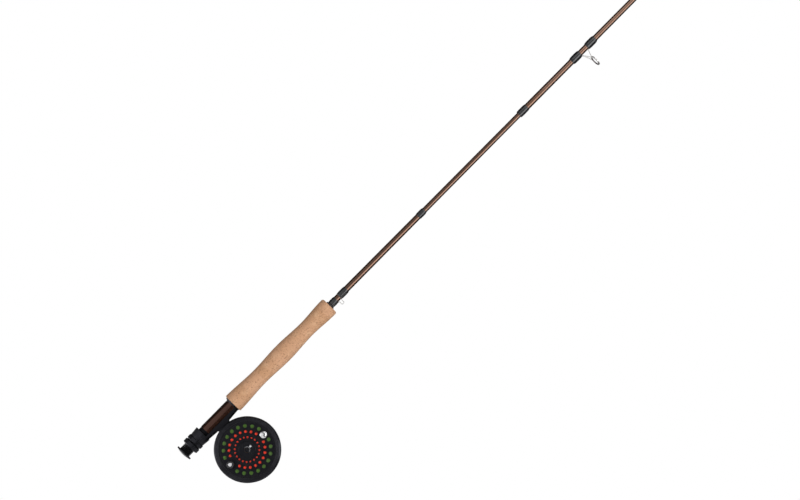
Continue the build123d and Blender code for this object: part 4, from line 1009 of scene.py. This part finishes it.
@dataclass
class Line:
    """What is wound on the spool: red backing, and green fly line over it."""

    backing_d: float = 0.6 * MM
    ridge_share: float = 0.35
    ridge_steps: int = 4
    pack_segments: int = 96
    points_a_turn: int = 72
    sides: int = 12
    closeness: float = 1.04

    def build(self) -> None:
        """Makes the two packs of buried turns and the outer layer of the line."""
        winding = profile(solids("fly_line_winding")[0], AXLE)[0]
        core = profile(solids("fly_line_core")[0], AXLE)[0]
        line_d = max(r for _, r in winding) - max(r for _, r in core)
        self.pack("backing", "backing_turns", BACKING_BRAID, Slot.BACKING, self.backing_d)
        self.pack("fly_line_core", "buried_line_turns", LINE_COATING, Slot.FLY_LINE, line_d)
        self.outer_layer(winding, line_d)

    def pack(self, node: str, name: str, finish: Finish, slot: Slot, cord_d: float) -> None:
        """Makes buried layers, whose turns show as rings on the two sides.

        Args:
            node: the CAD node that they stand for.
            name: the piece's name.
            finish: its surface.
            slot: the record's slot.
            cord_d: the diameter of what is wound.
        """
        outer, inner = profile(solids(node)[0], AXLE)
        low, high = outer[0][0], outer[-1][0]
        inside, outside = inner[0][1], outer[0][1]
        radii = spread(inside, outside, cord_d / self.ridge_steps)
        deepest = cord_d * self.ridge_share
        dips = [deepest * abs(math.cos(math.pi * (radius - inside) / cord_d)) for radius in radii]
        rear = [(low + dip, radius) for radius, dip in zip(radii, dips)]
        front = [(high - dip, radius) for radius, dip in zip(radii, dips)]
        draft = Draft()
        draft.turn(AXLE, rear + front[::-1], [], self.pack_segments)
        draft.piece(name, finish, slot, "spool", node)

    def outer_layer(self, winding: Outline, line_d: float) -> None:
        """Winds the line's outer layer: one unbroken tube in close turns, straight at both ends.

        Args:
            winding: the outline of the CAD winding.
            line_d: the diameter of the line.
        """
        low, high = winding[0][0] + line_d / 2, winding[-1][0] - line_d / 2
        radius = max(r for _, r in winding) - line_d / 2
        count = int((high - low) / (line_d * self.closeness)) * self.points_a_turn
        centres = []
        for i in range(count + 1):
            angle = 2 * math.pi * i / self.points_a_turn
            centre = AXLE.point(low + (high - low) * i / count, radius, angle)
            centres.append((centre, AXLE.outward(angle), AXLE.along))
        (start, *start_across), (end, *end_across) = centres[0], centres[-1]
        lead = (start - centres[1][0]).normalized() * line_d
        tail = (end - centres[-2][0]).normalized() * line_d
        centres = [(start + lead, *start_across), *centres, (end + tail, *end_across)]
        draft = Draft()
        draft.tube(centres, line_d / 2, self.sides)
        draft.piece("outer_line_turns", LINE_COATING, Slot.FLY_LINE, "spool", "fly_line_winding")


@dataclass(frozen=True)
class Lamp:
    """A soft rectangular lamp, aimed at the rod."""

    name: str
    place: tuple[float, float, float]
    size: Pair
    power: float

    def build(self) -> None:
        """Adds the lamp, which only lights: its shine comes from the cards."""
        data = bpy.data.lights.new(self.name, "AREA")
        data.shape = "RECTANGLE"
        data.size, data.size_y = self.size
        data.energy = self.power
        lamp = bpy.data.objects.new(self.name, data)
        lamp.location = self.place
        aim = Vector((self.place[0], 0, 0)) - Vector(self.place)
        lamp.rotation_euler = aim.to_track_quat("-Z", "Y").to_euler()
        lamp.visible_camera = False
        lamp.visible_glossy = False
        bpy.context.scene.collection.objects.link(lamp)


@dataclass(frozen=True)
class Card:
    """A dark, grey or bright card that shows only in reflections."""

    name: str
    brightness: float
    corners: tuple[Vector, Vector, Vector, Vector]

    @classmethod
    def along_rod(cls, name: str, brightness: float, reach: Pair, below: Pair) -> "Card":
        """Stands a card along the rod.

        Args:
            name: the card's name.
            brightness: its light, where 1 is white.
            reach: where it starts and ends along the rod.
            below: the degrees below level, on the camera's side, between which the rod sees it.

        Returns:
            The card.
        """
        edges = [Vector((0, -math.cos(math.radians(a)), -math.sin(math.radians(a)))) for a in below]
        low, high = (Vector((x, 0, 0)) for x in reach)
        return cls(name, brightness, (low + edges[0], high + edges[0], high + edges[1], low + edges[1]))

    @classmethod
    def beside_reel(
        cls, name: str, brightness: float, distance: float, turns: Pair, half_width: float
    ) -> "Card":
        """Stands a card beside the reel, to the right or the left in the photograph.

        Args:
            name: the card's name.
            brightness: its light, where 1 is white.
            distance: how far it is from the reel's centre.
            turns: the degrees from the axle between which the reel sees it, to the right if positive.
            half_width: half of its length across that direction.

        Returns:
            The card.
        """
        right = Vector((math.sqrt(0.5), 0, -math.sqrt(0.5)))
        across = Vector((math.sqrt(0.5), 0, math.sqrt(0.5))) * half_width
        near, far = (
            AXLE.origin + (right * math.sin(angle) + AXLE.along * math.cos(angle)) * distance
            for angle in map(math.radians, turns)
        )
        return cls(name, brightness, (near - across, near + across, far + across, far - across))


@dataclass
class Studio:
    """Camera, light, floor and the cards that the gloss mirrors."""

    camera_place: tuple[float, float, float] = (0.1982, -4.2, -0.2)
    camera_turn: float = math.radians(2.42)
    camera_tilt: float = math.radians(-2.54)
    camera_roll: float = math.radians(45.38)
    lens_mm: float = 149.1
    sensor_mm: float = 36.0
    ambient: float = 0.37
    floor_height: float = -0.9
    floor_half_size: float = 9.0
    floor_colour: str = "#F6F6F6"
    floor_white: Pair = (0.8, 1.0)
    floor_fade: Pair = (0.6, 1.3)
    rod_middle: float = 1.2
    rod_surround: Pair = (1.6, 0.9)
    lamps: tuple[Lamp, ...] = (Lamp("softbox", (0.9, -1.9, -0.7), (4.0, 1.0), 54.0),)
    cards: tuple[Card, ...] = (
        Card.along_rod("back_card", 0.06, (-0.12, 5.4), (130, 230)),
        Card.along_rod("bottom_card", 0.08, (0.17, 5.4), (61, 130)),
        Card.along_rod("top_card", 0.08, (-0.12, 5.4), (230, 295)),
        Card.along_rod("upper_seat_card", 1.1, (-3.6, 0.17), (295, 340)),
        Card.along_rod("upper_butt_card", 0.36, (0.17, 0.73), (295, 380)),
        Card.along_rod("upper_card", 1.5, (0.73, 5.4), (308, 348)),
        Card.along_rod("upper_dark_card", 0.25, (0.73, 5.4), (295, 308)),
        Card.along_rod("front_card", 0.55, (0.73, 5.4), (-12, 20)),
        Card.along_rod("lower_card", 2.5, (0.17, 5.4), (24, 61)),
        Card.along_rod("lower_seat_card", 0.12, (-0.25, 0.17), (12, 62)),
        Card.beside_reel("right_reel_card", 3.5, 0.17, (75, 115), 0.04),
        Card.beside_reel("left_reel_card", 3.5, 0.17, (-75, -115), 0.04),
        Card.beside_reel("reel_flag", 0.02, 0.30, (14, 40), 0.06),
    )

    def build(self) -> None:
        """Sets up the whole studio."""
        self.camera()
        self.world()
        self.floor()
        for card in self.cards:
            self.card(card)
        for lamp in self.lamps:
            lamp.build()
        bpy.context.scene.view_settings.view_transform = "Standard"

    def camera(self) -> None:
        """Sets the photograph's camera: across the rod, rolled so that the rod runs up to the right."""
        data = bpy.data.cameras.new("camera")
        data.sensor_fit = "HORIZONTAL"
        data.sensor_width = self.sensor_mm
        data.lens = self.lens_mm
        camera = bpy.data.objects.new("camera", data)
        turns = (
            (math.pi / 2, "X"),
            (-self.camera_turn, "Y"),
            (-self.camera_tilt, "X"),
            (-self.camera_roll, "Z"),
        )
        camera.matrix_world = Matrix.Translation(self.camera_place)
        for angle, axis in turns:
            camera.matrix_world @= Matrix.Rotation(angle, 4, axis)
        bpy.context.scene.collection.objects.link(camera)
        bpy.context.scene.camera = camera

    def world(self) -> None:
        """Makes a white surround for the eye and for reflections, and an even soft light."""
        world = bpy.data.worlds.new("white_surround")
        bpy.context.scene.world = world
        world.use_nodes = True
        tree = world.node_tree
        tree.nodes.clear()
        soft = add_node(tree, "Background", {"Color": WHITE, "Strength": self.ambient})
        white = add_node(tree, "Background", {"Color": WHITE, "Strength": 1.0})
        mix = add_node(
            tree, "MixShader", links={0: self.seen(tree), 1: soft.outputs[0], 2: white.outputs[0]}
        )
        add_node(tree, "OutputWorld", links={"Surface": mix.outputs[0]})

    def seen(self, tree: Tree) -> Socket:
        """Tells what is looked at from what only lights.

        Args:
            tree: the nodes of a material or of the world.

        Returns:
            1 for what the camera sees straight, mirrored or through glass, and 0 for soft light.
        """
        path = add_node(tree, "LightPath").outputs
        looked_at = path["Is Camera Ray"]
        for way in ("Is Glossy Ray", "Is Transmission Ray"):
            either = add_node(tree, "Math", {"operation": "MAXIMUM"}, {0: looked_at, 1: path[way]})
            looked_at = either.outputs[0]
        return looked_at

    def bare_material(self, name: str) -> bpy.types.Material:
        """Starts a material without any nodes.

        Args:
            name: its name.

        Returns:
            The material.
        """
        material = bpy.data.materials.new(name)
        material.use_nodes = True
        material.node_tree.nodes.clear()
        return material

    def sheet(
        self, name: str, corners: Sequence[Sequence[float]], material: bpy.types.Material
    ) -> bpy.types.Object:
        """Adds a flat sheet of the studio.

        Args:
            name: its name.
            corners: its four corners.
            material: its surface.

        Returns:
            The sheet.
        """
        mesh = bpy.data.meshes.new(name)
        mesh.from_pydata([tuple(corner) for corner in corners], [], [(0, 1, 2, 3)])
        mesh.materials.append(material)
        sheet = bpy.data.objects.new(name, mesh)
        bpy.context.scene.collection.objects.link(sheet)
        return sheet

    def floor(self) -> None:
        """Lays a pale floor that takes the rod's shadow and fades into the white surround."""
        material = self.bare_material("pale_floor")
        tree = material.node_tree
        place = add_node(tree, "TexCoord").outputs["Object"]
        reach = (1 / self.rod_surround[0], 1 / self.rod_surround[1], 0)
        shift = (-self.rod_middle / self.rod_surround[0], 0, 0)
        scaled = {"operation": "MULTIPLY_ADD", 1: reach, 2: shift}
        away = add_node(tree, "VectorMath", scaled, {0: place})
        distance = add_node(tree, "VectorMath", {"operation": "LENGTH"}, {0: away.outputs[0]})
        (start, end), (near, far) = self.floor_fade, self.floor_white
        white = add_node(
            tree,
            "MapRange",
            {"From Min": start, "From Max": end, "To Min": near, "To Max": far},
            {"Value": distance.outputs["Value"]},
        )
        share = add_node(
            tree, "Math", {"operation": "MULTIPLY"}, {0: self.seen(tree), 1: white.outputs["Result"]}
        )
        paper = add_node(tree, "BsdfDiffuse", {"Color": linear(self.floor_colour)})
        glow = add_node(tree, "Emission", {"Color": WHITE, "Strength": 1.0})
        mix = add_node(
            tree, "MixShader", links={0: share.outputs[0], 1: paper.outputs[0], 2: glow.outputs[0]}
        )
        add_node(tree, "OutputMaterial", links={"Surface": mix.outputs[0]})
        low, high = self.rod_middle - self.floor_half_size, self.rod_middle + self.floor_half_size
        side, z = self.floor_half_size, self.floor_height
        corners = [(low, -side, z), (high, -side, z), (high, side, z), (low, side, z)]
        self.sheet("floor", corners, material)

    def card(self, card: Card) -> None:
        """Stands a card where only reflections meet it.

        Args:
            card: its place, size and brightness.
        """
        material = self.bare_material(card.name + "_paper")
        tree = material.node_tree
        glow = add_node(tree, "Emission", {"Color": WHITE, "Strength": card.brightness})
        add_node(tree, "OutputMaterial", links={"Surface": glow.outputs[0]})
        sheet = self.sheet(card.name, card.corners, material)
        sheet.visible_camera = False
        sheet.visible_diffuse = False
        sheet.visible_transmission = False
        sheet.visible_shadow = False


def rod_sections() -> tuple[RodSection, ...]:
    """The four sections of the rod, from the butt to the tip."""
    butt = RodSection(
        "rod_butt",
        ("butt_sleeve", "butt_blank"),
        ("keeper_wraps", "trim_wrap"),
        ("hook_keeper",),
        footless=("trim_wrap",),
    )
    guides = {
        "section_2": ("stripping_guide_frame", "section_2_snake_guide"),
        "section_3": ("section_3_snake_guides",),
        "tip": ("tip_snake_guides", "tip_top"),
    }
    upper = [
        RodSection(body, (body + "_blank",), (body + "_wraps",), wires, footless_first=True)
        for body, wires in guides.items()
    ]
    return (butt, *upper)


def main() -> None:
    """Builds every sub-assembly in order, then the studio."""
    logging.basicConfig(level=logging.INFO)
    for assembly in (ReelSeat(), CorkGrip(), *rod_sections(), Reel(), Line(), Studio()):
        assembly.build()
    dress(EYE_CERAMIC, "stripping_guide_ring")


if __name__ == "__main__":
    main()
